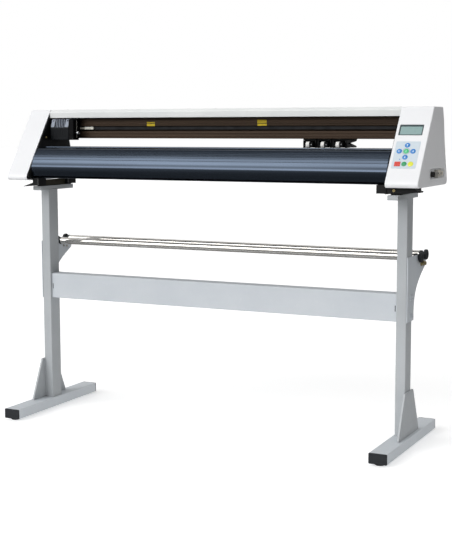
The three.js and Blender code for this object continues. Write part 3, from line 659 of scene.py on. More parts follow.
def add_camera():
    camera = bpy.data.objects.new("camera", bpy.data.cameras.new("camera"))
    camera.data.sensor_width = 36
    camera.data.lens = CAMERA_LENS
    turn = Matrix.Rotation(CAMERA_YAW, 4, "Z") @ Matrix.Rotation(math.pi / 2 - CAMERA_PITCH, 4, "X")
    turn = turn @ Matrix.Rotation(CAMERA_ROLL, 4, "Z")
    camera.matrix_world = Matrix.Translation(CAMERA_PLACE) @ turn
    show(camera)
    bpy.context.scene.camera = camera
    bpy.context.scene.view_settings.view_transform = "Standard"


def add_sky():
    """A dim sky with a bright patch towards the key light, over a darker ground. The camera sees white."""
    world = bpy.data.worlds.new("studio")
    world.use_nodes = True
    bpy.context.scene.world = world
    sky = Nodes(world.node_tree)
    direction = sky.node("ShaderNodeTexCoord").outputs["Generated"]
    towards = sky.node("ShaderNodeVectorMath", operation="DOT_PRODUCT")
    sky.feed(towards.inputs[0], direction)
    sky.feed(towards.inputs[1], KEY_LIGHT.normalized())
    height = sky.node("ShaderNodeSeparateXYZ")
    sky.feed(height.inputs[0], direction)
    light = sky.node("ShaderNodeMath", operation="MULTIPLY")
    sky.feed(light.inputs[0], sky.remap(towards.outputs["Value"], DIM_SKY, BRIGHT_SKY, *KEY_SPREAD))
    sky.feed(light.inputs[1], sky.remap(height.outputs["Z"], GROUND_GLOW, 1.0, *HORIZON_SPREAD))
    strength = sky.node("ShaderNodeMix")
    sky.feed(strength.inputs["Factor"], sky.node("ShaderNodeLightPath").outputs["Is Camera Ray"])
    sky.feed(strength.inputs["A"], light.outputs["Value"])
    sky.feed(strength.inputs["B"], 1.0)
    background = world.node_tree.nodes["Background"]
    sky.feed(background.inputs["Strength"], strength.outputs["Result"])
    sky.feed(background.inputs["Color"], (1, 1, 1, 1))


def add_softbox():
    softbox = bpy.data.objects.new("softbox", bpy.data.lights.new("softbox", "AREA"))
    softbox.data.shape = "RECTANGLE"
    softbox.data.size, softbox.data.size_y = SOFTBOX_SIZE
    softbox.data.energy = SOFTBOX_WATTS
    softbox.location = SOFTBOX_PLACE
    softbox.rotation_euler = (SOFTBOX_AIM - SOFTBOX_PLACE).to_track_quat("-Z", "X").to_euler()
    show(softbox)


def add_floors():
    """A wide floor that lights nothing, and a sheet under the machine that does."""
    floor_material = plain_floor()
    for name, half_width, height in FLOORS:
        bm = bmesh.new()
        bmesh.ops.create_grid(bm, x_segments=1, y_segments=1, size=half_width)
        bmesh.ops.translate(bm, vec=(0, 0, height), verts=bm.verts)
        ground = bpy.data.objects.new(name, mesh_of(bm))
        ground.data.materials.append(floor_material)
        show(ground)
        ground.visible_glossy = False
        ground.visible_diffuse = name == "floor_sheet"


# ---------- stand ----------

THREAD_PITCH = 1.25
POST_X = 675
POST_HALF_WIDTH = 17
POST_HALF_DEPTH = 28.5
ARM_UNDERSIDE = 806
GUSSET_HALF_BASE = 101
GUSSET_INSET = 5.2
GUSSET_Z = (60, 176)
BRACKET_CORNER_Z = 581
BRACKET_CURVE = ((100, 545), (40, 520), (38, 440))
BRACKET_BOLTS = ((13, 486), (15, 426))
BAR_STOPS = ((112, 589, 8), (133, 586, 7))
ROLL_BARS = ("front_roll_bar", "rear_roll_bar")
NOTCH_RADIUS = 9.3


def feet():
    """The two feet, with a cap and a glide at each end."""
    # The feet take the lighter copy of the coat: painted light.
    dress(POWDER_PAINTED_LIGHT, "left_foot", "right_foot", bevel=0.5)
    for side in SIDES:
        for end, direction in ENDS.items():
            foot_cap(f"{side}_{end}_foot_cap", direction)
            glide(f"{side}_{end}_glide")


def foot_cap(node, direction):
    """A push-in cap: a flange with a rounded rim round a shallow dish, and a ribbed plug."""
    low, high = span(node)
    width, length, height = high - low
    centre = middle(node)
    tip = low.y if direction < 0 else high.y
    back = -4.2
    place = facing((centre.x, tip, centre.z), (0, direction, 0))

    def slab(margin, radius, start, end, steps=4):
        return prism(rectangle(0, 0, width - margin, height - margin, radius, steps), start, end, place)

    flange = soften(slab(0, 3, back, 0, 5), 1.1, 4, 60)
    flange = boolean(flange, [slab(11, 2, -0.7, 5, 5)])
    plug = slab(5.5, 2, -length, back + 0.2)
    rings = [slab(4.6, 2, back - step - 1, back - step) for step in (2, 5)]
    piece(node + "_moulding", [flange, plug, *rings], BLACK_PLASTIC, "machine", [node])


def glide(node):
    """A round foot with a gripped edge, a lock nut and a threaded stud."""
    low, high = span(node)
    centre = middle(node)
    radius = (high.x - low.x) / 2
    place = at(centre.x, centre.y, low.z)

    def grip(angle, height):
        return 1 - 0.02 * (0.5 + 0.5 * math.cos(28 * angle))

    edge = [(radius - 1.2, 0), (radius, 0.9), (radius, 3.2), (radius - 1, 4.2)]
    pad = turned([(0, 0), *edge, (0, 4.4)], place, 112, grip)
    neck = turned([(0, 4.2), (9, 4.2), (7.5, 5.6), (0, 5.7)], place, 32)
    threads = [(0, 5)]
    for turn in range(int((high.z - 6) / THREAD_PITCH)):
        height = 5.6 + turn * THREAD_PITCH
        threads += [(3.3, height), (3.95, height + THREAD_PITCH / 2)]
    threads.append((0, high.z - low.z))
    stud = turned(threads, place, 24)
    piece(node + "_foot", [pad, neck], GLIDE, node, [node])
    piece(node + "_stud", [stud], STEEL, node)


def bead(points, radius=2.0, spacing=1.6):
    """A weld bead: overlapping ripples along straight runs between points."""
    path = []
    for start, end in zip(points, points[1:]):
        start, end = Vector(start), Vector(end)
        steps = max(2, int((end - start).length / spacing))
        path += [start.lerp(end, step / steps) for step in range(steps)]
    path.append(Vector(points[-1]))

    def size(i):
        return 0.4 if i in (0, len(path) - 1) else radius * (1 + 0.14 * math.cos(2.1 * i))

    return swept(path, size, 8)


def columns():
    """The posts with their arms and gussets, and the weld beads round their joints."""
    # The posts and their weld beads take the darker copy of the coat: painted shade under the head.
    dress(POWDER_PAINTED_SHADE, "left_column", "right_column", bevel=0.7)
    seam = span("left_foot")[1].z + 0.8
    for side, sign in SIDES.items():
        low, high = span(f"{side}_column")
        outer = high.x if sign > 0 else low.x
        inner = sign * (POST_X - POST_HALF_WIDTH)
        left, right = (sign * POST_X + way * (POST_HALF_WIDTH - 3) for way in (-1, 1))
        front, rear = -POST_HALF_DEPTH, POST_HALF_DEPTH
        runs = [
            [(left, front, seam), (right, front, seam)],
            [(left, rear, seam), (right, rear, seam)],
            [(inner, front + 3, seam), (inner, rear - 3, seam)],
            [(outer, -GUSSET_HALF_BASE, seam), (outer, GUSSET_HALF_BASE, seam)],
        ]
        edge = outer - sign * GUSSET_INSET
        runs += [[(edge, y, z) for z in GUSSET_Z] for y in (front, rear)]
        beads = [bead(run, 1.8) for run in runs]
        beads.append(bead([(inner, front + 3, ARM_UNDERSIDE), (inner, rear - 3, ARM_UNDERSIDE)], 1.6))
        piece(f"{side}_column_welds", beads, POWDER_PAINTED_SHADE, "machine", smooth=60)


def crossbeam():
    """The beam between the legs, with a slotted joint plate and a bolt behind it at each end."""
    dress(POWDER, "crossbeam", bevel=0.7)
    low, high = span("crossbeam")
    slot_z = (low.z + high.z) / 2 - 2
    slots = []
    screws = []
    for sign in SIDES.values():
        x = sign * (high.x - 5)
        slots.append(prism(rectangle(x, slot_z, 2.6, 20, 1.25, 6), low.y - 0.15, low.y + 1, ALONG_Y))
        for z in (low.z + 22, high.z - 22):
            screws.append(hex_bolt(facing((sign * (high.x - 22), high.y, z), (0, 1, 0)), 6.5, 5))
    piece("crossbeam_slots", slots, BLACK_PLASTIC, "machine")
    piece("crossbeam_rear_bolts", screws, STEEL, "machine")


def roll_brackets():
    """The bent plates that carry the roll bars in open notches."""
    for side, sign in SIDES.items():
        node = f"{side}_roll_bracket"
        low, high = span(node)
        outline = [(low.y, low.z), (low.y, high.z)]
        for bar in ROLL_BARS:
            centre = middle(bar)
            outline.append((centre.y - NOTCH_RADIUS, high.z))
            for step in range(17):
                turn = math.pi * (1 + step / 16)
                sideways, up = NOTCH_RADIUS * math.cos(turn), NOTCH_RADIUS * math.sin(turn)
                outline.append((centre.y + sideways, centre.z + up))
            outline.append((centre.y + NOTCH_RADIUS, high.z))
        shoulder = (high.y, BRACKET_CORNER_Z)
        corner = rounded([(high.y - 20, high.z), (high.y, high.z, 10), shoulder], 8)
        outline += [*corner[1:-1], shoulder, *bezier(shoulder, *BRACKET_CURVE, 24)]
        outline.append((BRACKET_CURVE[-1][0], low.z))
        plate = soften(prism(outline, low.x, high.x), 0.6, 3, 50)
        piece(node + "_plate", [plate], POWDER, "machine", [node])
        face = high.x if sign > 0 else low.x
        bolts = [screw(facing((face, y, z), (sign, 0, 0)), 10, 5, 6) for y, z in BRACKET_BOLTS]
        piece(f"{side}_bracket_bolts", bolts, POWDER, "machine")
        stops = [hex_bolt(facing((face, y, z), (sign, 0, 0)), radius, 10) for y, z, radius in BAR_STOPS]
        piece(f"{side}_bar_stop_bolts", stops, BRASS, "machine")


def roll_bars():
    """Chrome tubes on black plastic ends, whose journals run in the brackets' notches."""
    near, far = (corner.x for corner in span("right_roll_bracket"))
    end = near - 10
    edge, radius = 12.1, 12.5
    tube = [(0, -end), (edge, -end), (radius, -end + 0.4), (radius, end - 0.4), (edge, end), (0, end)]
    for node in ROLL_BARS:
        low, high = span(node)
        centre = middle(node)
        rim = (high.z - low.z) / 2
        start, collar, cap, tip = end - 0.5, near - 2, far + 2, high.x

        def grip(angle, height):
            return 1 - (0.025 * max(0, math.cos(12 * angle)) if cap + 1.4 < height < tip - 2 else 0)

        profile = [
            (0, start), (12.6, start), (13, start + 0.6), (13, collar - 0.8), (12.2, collar),
            (9, collar + 0.2), (9, cap - 0.2), (rim - 1.5, cap), (rim, cap + 1.5), (rim, tip - 2.5),
            (rim - 0.9, tip - 0.8), (rim - 2.8, tip), (9, tip), (8, tip - 1.4), (3.5, tip - 1.4),
            (3, tip - 3, 6), (0, tip - 3),
        ]
        place = at(0, centre.y, centre.z, ALONG_X)
        piece(node + "_tube", [turned(tube, place, 64)], CHROME, node, [node])
        outwards = [facing((0, centre.y, centre.z), (sign, 0, 0)) for sign in SIDES.values()]
        ends = [turned(profile, axes, 72, grip) for axes in outwards]
        piece(node + "_ends", ends, BLACK_PLASTIC, node)


# ---------- head: housings and covers ----------

WALL = 3
TRAY_WALL = 2.5
PLATE_FACES = {"left": -672.7, "right": 649.7}
PLATE_SCREW = (-17, 993)
HOUSING = [(-152, 843, 31), (18, 1092, 5), (114, 1092, 5), (128, 1050), (138, 986), (178, 843, 24)]
KEYS = {
    "key_up": (BLUE, "key_blue"),
    "key_left": (BLUE, "key_blue"),
    "key_right": (BLUE, "key_blue"),
    "key_down": (BLUE, "key_blue"),
    "key_enter": (GREEN_LIGHT, "key_green"),
    "key_stop": (RED, "key_red"),
    "key_test": (GREEN, "key_green"),
    "key_pause": (YELLOW, "key_yellow"),
}


def on_panel(point):
    """A point's place in the panel's own axes."""
    return PANEL.inverted() @ Vector(point)


def shell(outer_x, inner_x):
    """An end housing: a hollow moulding, open towards the head, with a rounded outer edge."""
    outline = rounded(HOUSING, 14)
    centre = sum(outline, Vector((0, 0))) / len(outline)
    inner = []
    for i, point in enumerate(outline):
        along = (outline[(i + 1) % len(outline)] - outline[i - 1]).normalized()
        normal = Vector((along.y, -along.x))
        if normal.dot(centre - point) < 0:
            normal = -normal
        inner.append(point + normal * WALL)
    sign = math.copysign(1, outer_x)
    body = prism(outline, outer_x, inner_x)

    def at_end(edge):
        return all(abs(vert.co.x - outer_x) < 0.01 for vert in edge.verts)

    soften(body, 3.5, 5, only=at_end)
    core = prism(inner, outer_x - sign * WALL, inner_x - sign * 5)
    return boolean(body, [core])


def left_housing():
    """The plain white housing at the left end."""
    low, high = span("left_housing")
    body = soften(shell(low.x, high.x), 0.5, 2, 50)
    piece("left_housing_moulding", [body], WHITE, "machine", ["left_housing"], 30)


def right_housing():
    """The white housing with openings for the display, the keypad, the keys and the connectors."""
    low, high = span("right_housing")
    body = shell(high.x, low.x)
    port_low, port_high = span("port_panel")
    openings = [
        panel_cutter("display_module", 0.3, -10, 2.2),
        panel_cutter("keypad_panel", 0.3, -1.3, 4),
        prism(tray_outline(TRAY_WALL, 14), high.x - 12, high.x + 5),
    ]
    body = boolean(body, openings)
    body = boolean(body, [key_hole(node, 0.4) for node in KEYS])
    body = boolean(body, [flared(port_low, port_high, high.x)])
    soften(body, 0.45, 2, 50)
    piece("right_housing_moulding", [body], WHITE, "machine", ["right_housing"], 30)


def tray_outline(margin, radius):
    """The connector tray's outline, drawn in by a margin."""
    centre = middle("port_panel")
    low, high = span("port_panel")
    return rectangle(centre.y, centre.z, high.y - low.y - 2 * margin, high.z - low.z - 2 * margin, radius, 8)


def flared(low, high, face):
    """A cutter that widens the connector window towards the housing's face."""
    y, z = (low.y + high.y) / 2, (low.z + high.z) / 2 - 2
    mouth = prism(rectangle(y, z, high.y - low.y + 6, high.z - low.z + 9, 17, 8), face - 3.5, face + 1)
    for vert in mouth.verts:
        if vert.co.x < face:
            vert.co.y = y + (vert.co.y - y) * 0.94
            vert.co.z = z + 2 + (vert.co.z - z) * 0.68
    return mouth


def panel_span(node):
    """A node's lowest and highest corners in the panel's own axes."""
    points = [on_panel(vert.co / MM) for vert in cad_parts[node].data.vertices]
    low = Vector([min(p[i] for p in points) for i in range(3)])
    high = Vector([max(p[i] for p in points) for i in range(3)])
    return low, high


def panel_cutter(node, clearance, depth, radius):
    """A cutter for a node's own outline on the panel."""
    low, high = panel_span(node)
    centre = (low + high) / 2
    size = high - low
    outline = rectangle(centre.x, centre.y, size.x + 2 * clearance, size.y + 2 * clearance, radius, 5)
    return prism(outline, depth, 6, PANEL)


def side_plates():
    """Black plates closing the housings' inner sides, with the screw that holds the beam."""
    dress(BLACK_METAL, "left_side_plate", "right_side_plate", bevel=0.4)
    for side, sign in SIDES.items():
        head = screw(facing((PLATE_FACES[side], *PLATE_SCREW), (-sign, 0, 0)), 4.5, 2.6)
        piece(f"{side}_side_plate_screw", [head], BRASS, "machine")


def top_cover():
    """A folded sheet over the beam, with small round-headed screws near its ends."""
    low, high = span("top_cover")
    outside = [(12, 1063), (12, 1084, 3), (24, 1092, 3), (111, 1092, 4), (124, 1050, 4), (132, 996)]
    inside = [
        (130.4, 996), (122.4, 1050, 2.6), (109.8, 1090.5, 2.6), (24.5, 1090.5, 1.8), (13.5, 1083.2, 1.8),
        (13.5, 1063),
    ]
    sheet = soften(prism(rounded(outside + inside, 5), low.x, high.x), 0.35, 2, 60)
    piece("top_cover_sheet", [sheet], COVER, "machine", ["top_cover"])
    outwards = (0, 0.99, 0.145)
    screws = [screw(at(x, 99, high.z), 4, 1.4) for x in (low.x + 22, low.x + 630, high.x - 30)]
    rear = [screw(facing((x, 128.2, 1022), outwards), 3.5, 1.6) for x in (low.x + 40, 0, high.x - 40)]
    piece("top_cover_screws", screws + rear, STEEL, "machine")


# ---------- head: beam and platen ----------

BELT_GROOVE = (1015.5, 1033.5)
BELT_GROOVE_BACK = 81
LABELS = ((-289, -257, 1033, 1047), (139, 173, 1033.5, 1055.5))


def beam():
    """The extruded guide beam: shallow lines along its faces and the deep groove for the belt."""
    low, high = span("beam")
    front, rear, bottom, top = low.y, high.y, low.z, high.z
    trim = 1.5
    sill, lintel = BELT_GROOVE

    def line(y, start, end, grooves, depth):
        return grooved([Vector((y, start)), Vector((y, end))], grooves, depth)

    outline = [
        *line(front, sill, bottom + trim, [(5, 7.2), (16, 18.2)], 1.2),
        (front + trim, bottom),
        (rear - trim, bottom),
        *line(rear, bottom + trim, top - trim, [(20, 28), (42, 50)], 3),
        (rear - trim, top),
        (front + trim, top),
        *line(front, top - trim, lintel, [(5, 7.2), (18, 20.2)], 1.2),
        (BELT_GROOVE_BACK, lintel),
        (BELT_GROOVE_BACK, sill),
    ]
    body = soften(prism(outline, low.x, high.x), 0.3, 2, 60)
    piece("beam_extrusion", [body], BEAM, "machine", ["beam"])
    labels = []
    for x0, x1, z0, z1 in LABELS:
        outline = rectangle((x0 + x1) / 2, (z0 + z1) / 2, x1 - x0, z1 - z0, 1.5)
        labels.append(prism(outline, low.y - 0.25, low.y + 0.1, ALONG_Y))
    piece("beam_labels", labels, LABEL, "machine")


def platen():
    """The ribbed bed: a flat top, a ribbed slope and a rounded nose, cut for the feed shaft and the strip."""
    low, high = span("platen")
    top, bottom = high.z, low.z
    crease = Vector((-105, 911))
    slope = [Vector((-52, top)), *bezier((-52, top), (-79, top), (-94, 938), crease, 30)]
    nose = bezier(crease, (-108.5, 900), (-114, 897), (-114, 889), 16)
    nose += bezier((-114, 889), (-114, 872), (-112, bottom), (-103, bottom), 12)
    grooves = [(27, 29.5), (33, 34.4), (39, 40.4), (45.5, 48), (52, 53.4), (59, 60.4), (68.5, 71)]
    flat = grooved([Vector((134, top)), Vector((-52, top))], [(160, 163), (172, 175)], 1.3)
    ribs = grooved(slope, grooves, 1.6)
    body = prism([*flat, *ribs[1:], *nose, (146, bottom)], low.x, high.x)
    ceiling = top - 3.2
    core = [(130, ceiling), (-50, ceiling)]
    core += bezier((-50, ceiling), (-82, ceiling), (-91, 928), (-98, 910), 10)
    core += bezier((-98, 910), (-106, 892), (-112, 889), (-112, 876), 8)
    core += [(-110, bottom + 3), (142, bottom + 3)]
    body = boolean(body, [prism(core, low.x - 5, high.x + 5)])
    shaft = middle("grit_shaft")
    through = (low.x - 1, high.x + 1)
    body = boolean(body, [prism(circle(shaft.y, shaft.z, 5.9, 32), *through)])
    start, end = span("cutting_strip")
    slots = [
        block((-600, 600), (shaft.y - 10, shaft.y + 10), (top - 12, top + 5)),
        block(through, (start.y - 0.3, end.y + 0.3), (start.z - 0.3, top + 5)),
    ]
    body = soften(boolean(body, slots), 0.25, 2, 50)
    piece("platen_extrusion", [body], PLATEN, "machine", ["platen"], 30)
    section = [(start.y, start.z), (end.y, start.z), (end.y, end.z, 0.4), (start.y, end.z, 0.4)]
    tape = prism(rounded(section, 3), start.x, end.x)
    piece("cutting_strip_tape", [tape], STRIP, "machine", ["cutting_strip"])


# ---------- head: control panel and connectors ----------

ARROW = [(0, 3.9), (-2.8, 0.9), (-0.9, 0.9), (-0.9, -3.2), (0.9, -3.2), (0.9, 0.9), (2.8, 0.9)]
TICK = [(-2.8, 0.2), (-2, 1), (-0.7, -0.5), (2.1, 2.5), (2.8, 1.8), (-0.7, -2)]
KEY_SIGNS = {
    "key_up": (ARROW, 0),
    "key_left": (ARROW, 90),
    "key_down": (ARROW, 180),
    "key_right": (ARROW, 270),
    "key_enter": (TICK, 0),
}
LAMP = (684, 75, 0)
ROUND_PORT = (46, 879)
UPRIGHT_PORT_Y = 85
WIDE_PORT_Y = 128
PORT_ROW_Z = 880


def display():
    """The display: a dark sloping frame round a blank liquid crystal window."""
    low, high = panel_span("display_module")
    centre = (low + high) / 2
    size = high - low

    def sheet(drop, margin, radius, start, end):
        outline = rectangle(centre.x, centre.y - drop, size.x - margin[0], size.y - margin[1], radius)
        return prism(outline, start, end, PANEL)

    # The window sits 1.2 lower in the frame, so the dark frame is wider at its top: painted shade of the
    # recess above.
    opening = sheet(1.2, (7, 9), 1, high.z - 2.4, 5)
    bezel = soften(boolean(sheet(0, (0, 0), 1.5, low.z, high.z), [opening]), 0.5, 2, 50)
    piece("display_frame", [bezel], BEZEL, "machine", ["display_module"])
    glass = soften(sheet(1.2, (7.2, 9.2), 0.8, high.z - 2.6, high.z - 1.2), 0.2, 2)
    piece("display_window", [glass], DISPLAY, "machine")


def keypad():
    """The keypad: a printed sheet with holes for the keys, a ring round the middle key and a small lamp."""
    low, high = panel_span("keypad_panel")
    centre = (low + high) / 2
    sheet = prism(rectangle(centre.x, centre.y, high.x - low.x, high.y - low.y, 2.5, 5), low.z, high.z, PANEL)
    sheet = boolean(sheet, [key_hole(node, 0.35) for node in KEYS])
    piece("keypad_sheet", [sheet], FILM, "machine", ["keypad_panel"])
    profile = [(9.2, 0.1), (12.2, 0.1), (12.2, 0.5), (11.8, 0.7), (9.6, 0.7), (9.2, 0.5), (9.2, 0.1)]
    ring = turned(profile, on_key("key_enter"), 56)
    piece("keypad_ring", [ring], RING, "machine")
    radius = 1.7
    place = PANEL @ Matrix.Translation(LAMP)
    lamp = turned([(0, 0), (radius, 0), (radius, 0.4), (radius * 0.7, 0.9), (0, 1.1)], place, 24)
    piece("keypad_lamp", [lamp], BLUE, "machine")
    for node, (material, slot) in KEYS.items():
        keycap(node, material)


def on_key(node):
    """The panel's axes moved to the middle of a key."""
    low, high = panel_span(node)
    return PANEL @ Matrix.Translation(((low.x + high.x) / 2, (low.y + high.y) / 2, 0))


def key_hole(node, clearance):
    """A cutter for a key's own outline."""
    low, high = panel_span(node)
    size = high - low
    if node == "key_stop":
        outline = rectangle(0, 0, size.x + 2 * clearance, size.y + 2 * clearance, 1.2)
    else:
        outline = circle(0, 0, size.x / 2 + clearance, 40)
    return prism(outline, -12, 6, on_key(node))


def keycap(node, material):
    """A key: a softly crowned cap, with a plain sign on the direction keys and the middle one."""
    low, high = panel_span(node)
    size = high - low
    top = high.z
    place = on_key(node)
    if node == "key_stop":
        cap = soften(prism(rectangle(0, 0, size.x, size.y, 1.6, 5), low.z, top, place), 0.7, 3)
    else:
        radius = size.x / 2
        dome = [(radius * math.cos(t), top - 0.9 + 0.9 * math.sin(t)) for t in (0, 0.5, 0.9, 1.2)]
        cap = turned([(0, low.z), (radius, low.z), *dome, (0, top)], place, 48)
    piece(node + "_cap", [cap], material, node, [node])
    if node in KEY_SIGNS:
        outline, angle = KEY_SIGNS[node]
        turn = place @ Matrix.Rotation(math.radians(angle), 4, "Z")
        piece(node + "_sign", [prism(outline, top - 0.3, top + 0.06, turn)], MARK, node)


def ports():
    """The connector tray: a round socket, an upright one and a wide one with its two posts."""
    low, high = span("port_panel")
    back = low.x + TRAY_WALL
    tray = prism(tray_outline(0, 16), low.x, high.x)
    tray = boolean(tray, [prism(tray_outline(TRAY_WALL, 14), back, high.x + 5)])
    soften(tray, 0.4, 2, 50)
    piece("port_tray", [tray], WHITE, "machine", ["port_panel"])

    def out(y, z):
        return facing((back, y, z), (1, 0, 0))

    def raised(y, width, height, radius, start, end):
        return prism(rectangle(y, PORT_ROW_Z, width, height, radius), back + start, back + end)

    profile = [(0, -0.5), (10, -0.5), (10, 1), (9, 1.2), (9, 9.5), (8.4, 10), (7.2, 10), (7, 3), (0, 3)]
    y, z = ROUND_PORT
    piece("port_round_socket", [turned(profile, out(y, z), 48)], PORT_DARK, "machine")
    pins = []
    for degrees in (20, 90, 160, 230, 310):
        t = math.radians(degrees)
        place = out(y + 4 * math.cos(t), z + 4 * math.sin(t))
        pins.append(turned([(0, 2), (0.7, 2), (0.7, 8), (0.4, 8.6), (0, 8.6)], place, 12))
    piece("port_round_pins", pins, STEEL, "machine")
    mouth = raised(UPRIGHT_PORT_Y, 8, 12, 1.5, 3, 12)
    upright = soften(boolean(raised(UPRIGHT_PORT_Y, 14, 26, 1.5, -0.5, 9), [mouth]), 0.5, 2, 50)
    piece("port_upright_socket", [upright], PORT_GREY, "machine")
    plate = soften(raised(WIDE_PORT_Y, 43, 21, 2.5, -0.5, 1.5), 0.4, 2)
    rim = [(-15, -6.5, 2), (15, -6.5, 2), (17, 6.5, 2), (-17, 6.5, 2)]
    mouth = [(-13.5, -5, 1.5), (13.5, -5, 1.5), (15.3, 5, 1.5), (-15.3, 5, 1.5)]
    solid, hollow = (
        rounded([(WIDE_PORT_Y + y, PORT_ROW_Z + z, trim) for y, z, trim in outline], 4)
        for outline in (rim, mouth)
    )
    hood = boolean(prism(solid, back + 1, back + 9.5), [prism(hollow, back + 4, back + 12)])
    piece("port_wide_hood", [plate, hood], PORT_BEIGE, "machine")
    insert = soften(raised(WIDE_PORT_Y, 24, 7, 1, 3, 7.5), 0.4, 2)
    piece("port_wide_insert", [insert], PORT_GREY, "machine")
    posts = [hex_bolt(out(WIDE_PORT_Y + side * 19, PORT_ROW_Z), 2.2, 6) for side in SIDES.values()]
    piece("port_wide_posts", posts, STEEL, "machine")


# ---------- head: carriage ----------

GUIDE_ROD = (-564.9, 18)
GUIDE_ROD_ENDS = (990, 1056)
GUIDE_LUG = ((-566, -562.6), (15, 21))
COVER_LIP_Z = 1028
COVER_CROWN_Y = 10
COVER_PAD = 17
RIBS = 6
CLAMP_PAD_X = -546
TOOL_SEAT_Y = 9


def carriage():
    """The parked carriage: a ribbed cover, the casting behind it, the tool clamp and the belt clamp bar."""
    dress(CARRIAGE_BLACK, "carriage_body", bevel=0.8)
    carriage_cover()
    tool_clamp()
    belt_clamp_bar()
    start, end = GUIDE_ROD_ENDS
    rod = turned([(0, start), (0.9, start), (0.9, end), (0, end)], at(*GUIDE_ROD, 0), 16)
    piece("carriage_guide_rod", [rod], CHROME, "carriage")
    lugs = [soften(block(*GUIDE_LUG, (z - 2, z + 2)), 0.5, 2) for z in GUIDE_ROD_ENDS]
    piece("carriage_guide_lugs", lugs, CARRIAGE_BLACK, "carriage")


def carriage_cover():
    """The cover's dark shell, with a pad at each side of its tilted face and leaning ribs between, both light
    blue-grey as a painted highlight.
    """
    low, high = span("carriage_cover")
    lip = Vector((low.y, COVER_LIP_Z))
    crown = Vector((COVER_CROWN_Y, high.z))
    profile = [(low.y, low.z, 2), (*lip, 2), (*crown, 2), (high.y, high.z), (high.y, low.z)]
    body = soften(prism(rounded(profile, 5), low.x, high.x), 0.8, 3, 50)
    length = (crown - lip).length
    slope = math.atan2(crown.y - lip.y, crown.x - lip.x)
    tilted = Matrix.Translation((0, *lip)) @ Matrix.Rotation(slope, 4, "X")
    start, end = low.x + COVER_PAD, high.x - COVER_PAD
    hollow = rectangle((start + end) / 2, length / 2 + 1, end - start, length, 2)
    body = boolean(body, [prism(hollow, -4, 4, tilted)])

    def screw_hole(x):
        place = tilted @ Matrix.Translation((x, length - 8, 0))
        return turned([(0, -6), (2.6, -6), (2.6, 4), (0, 4)], place, 24)

    pads = []
    for x in (low.x + COVER_PAD / 2, high.x - COVER_PAD / 2):
        body = boolean(body, [screw_hole(x)])
        plate = prism(rectangle(x, length / 2, COVER_PAD - 3, length - 5, 1.5), -0.5, 0.25, tilted)
        pads.append(soften(boolean(plate, [screw_hole(x)]), 0.15, 2, 50))
    lines = [block((low.x - 1, high.x + 1), (low.y - 1, low.y + 0.9), (low.z + 12.6, low.z + 13.8))]
    for i in range(RIBS):
        x = low.x + 13.5 + i * 9.5
        lines.append(block((x, x + 1.2), (low.y - 1, low.y + 0.8), (low.z + 16, lip.y - 6)))
    body = boolean(body, lines)
    piece("carriage_cover_shell", [body], CARRIAGE_GREY, "carriage", ["carriage_cover"])
    # Pads and ribs: light blue-grey painted highlight on the tilted face.
    piece("carriage_cover_pads", pads, CARRIAGE_PAINTED_HIGHLIGHT, "carriage")
    pitch = (end - start) / RIBS
    ribs = [curved_rib(start + pitch * (i + 0.8), length, pitch, tilted) for i in range(RIBS)]
    piece("carriage_cover_ribs", ribs, CARRIAGE_PAINTED_HIGHLIGHT, "carriage")


def curved_rib(x, length, pitch, place):
    """A thin fin that leans and curves across the tilted face."""
    steps = 12
    left, right = [], []
    for step in range(steps + 1):
        t = step / steps
        centre = x - 0.75 * pitch * t * t
        along = 1.2 + t * (length - 3)
        left.append((centre - 1.1, along))
        right.append((centre + 1.1, along))
    return soften(prism(left + right[::-1], -4.3, -0.3, place), 0.45, 2, 60)


def belt_clamp_bar():
    """The bar that ties the carriage to the belt: a thin arm ending in a thick pad."""
    low, high = span("belt_clamp_bar")
    centre = middle("belt_clamp_bar")
    arm = block((low.x, CLAMP_PAD_X), (low.y + 0.5, high.y), (centre.z - 3.4, centre.z + 3.4))
    piece("belt_clamp_bar_arm", [soften(arm, 0.7, 2)], CLAMP_DARK, "carriage")
    pad = soften(block((CLAMP_PAD_X, high.x), (low.y, high.y), (low.z + 1.4, high.z - 1.4)), 1.2, 3)
    depth, height = (low.y - 1, low.y + 0.9), (low.z + 4, high.z - 4)
    pad = boolean(pad, [block((x, x + 1), depth, height) for x in (-531, -526, -521)])
    piece("belt_clamp_bar_pad", [pad], CREAM, "carriage", ["belt_clamp_bar"])


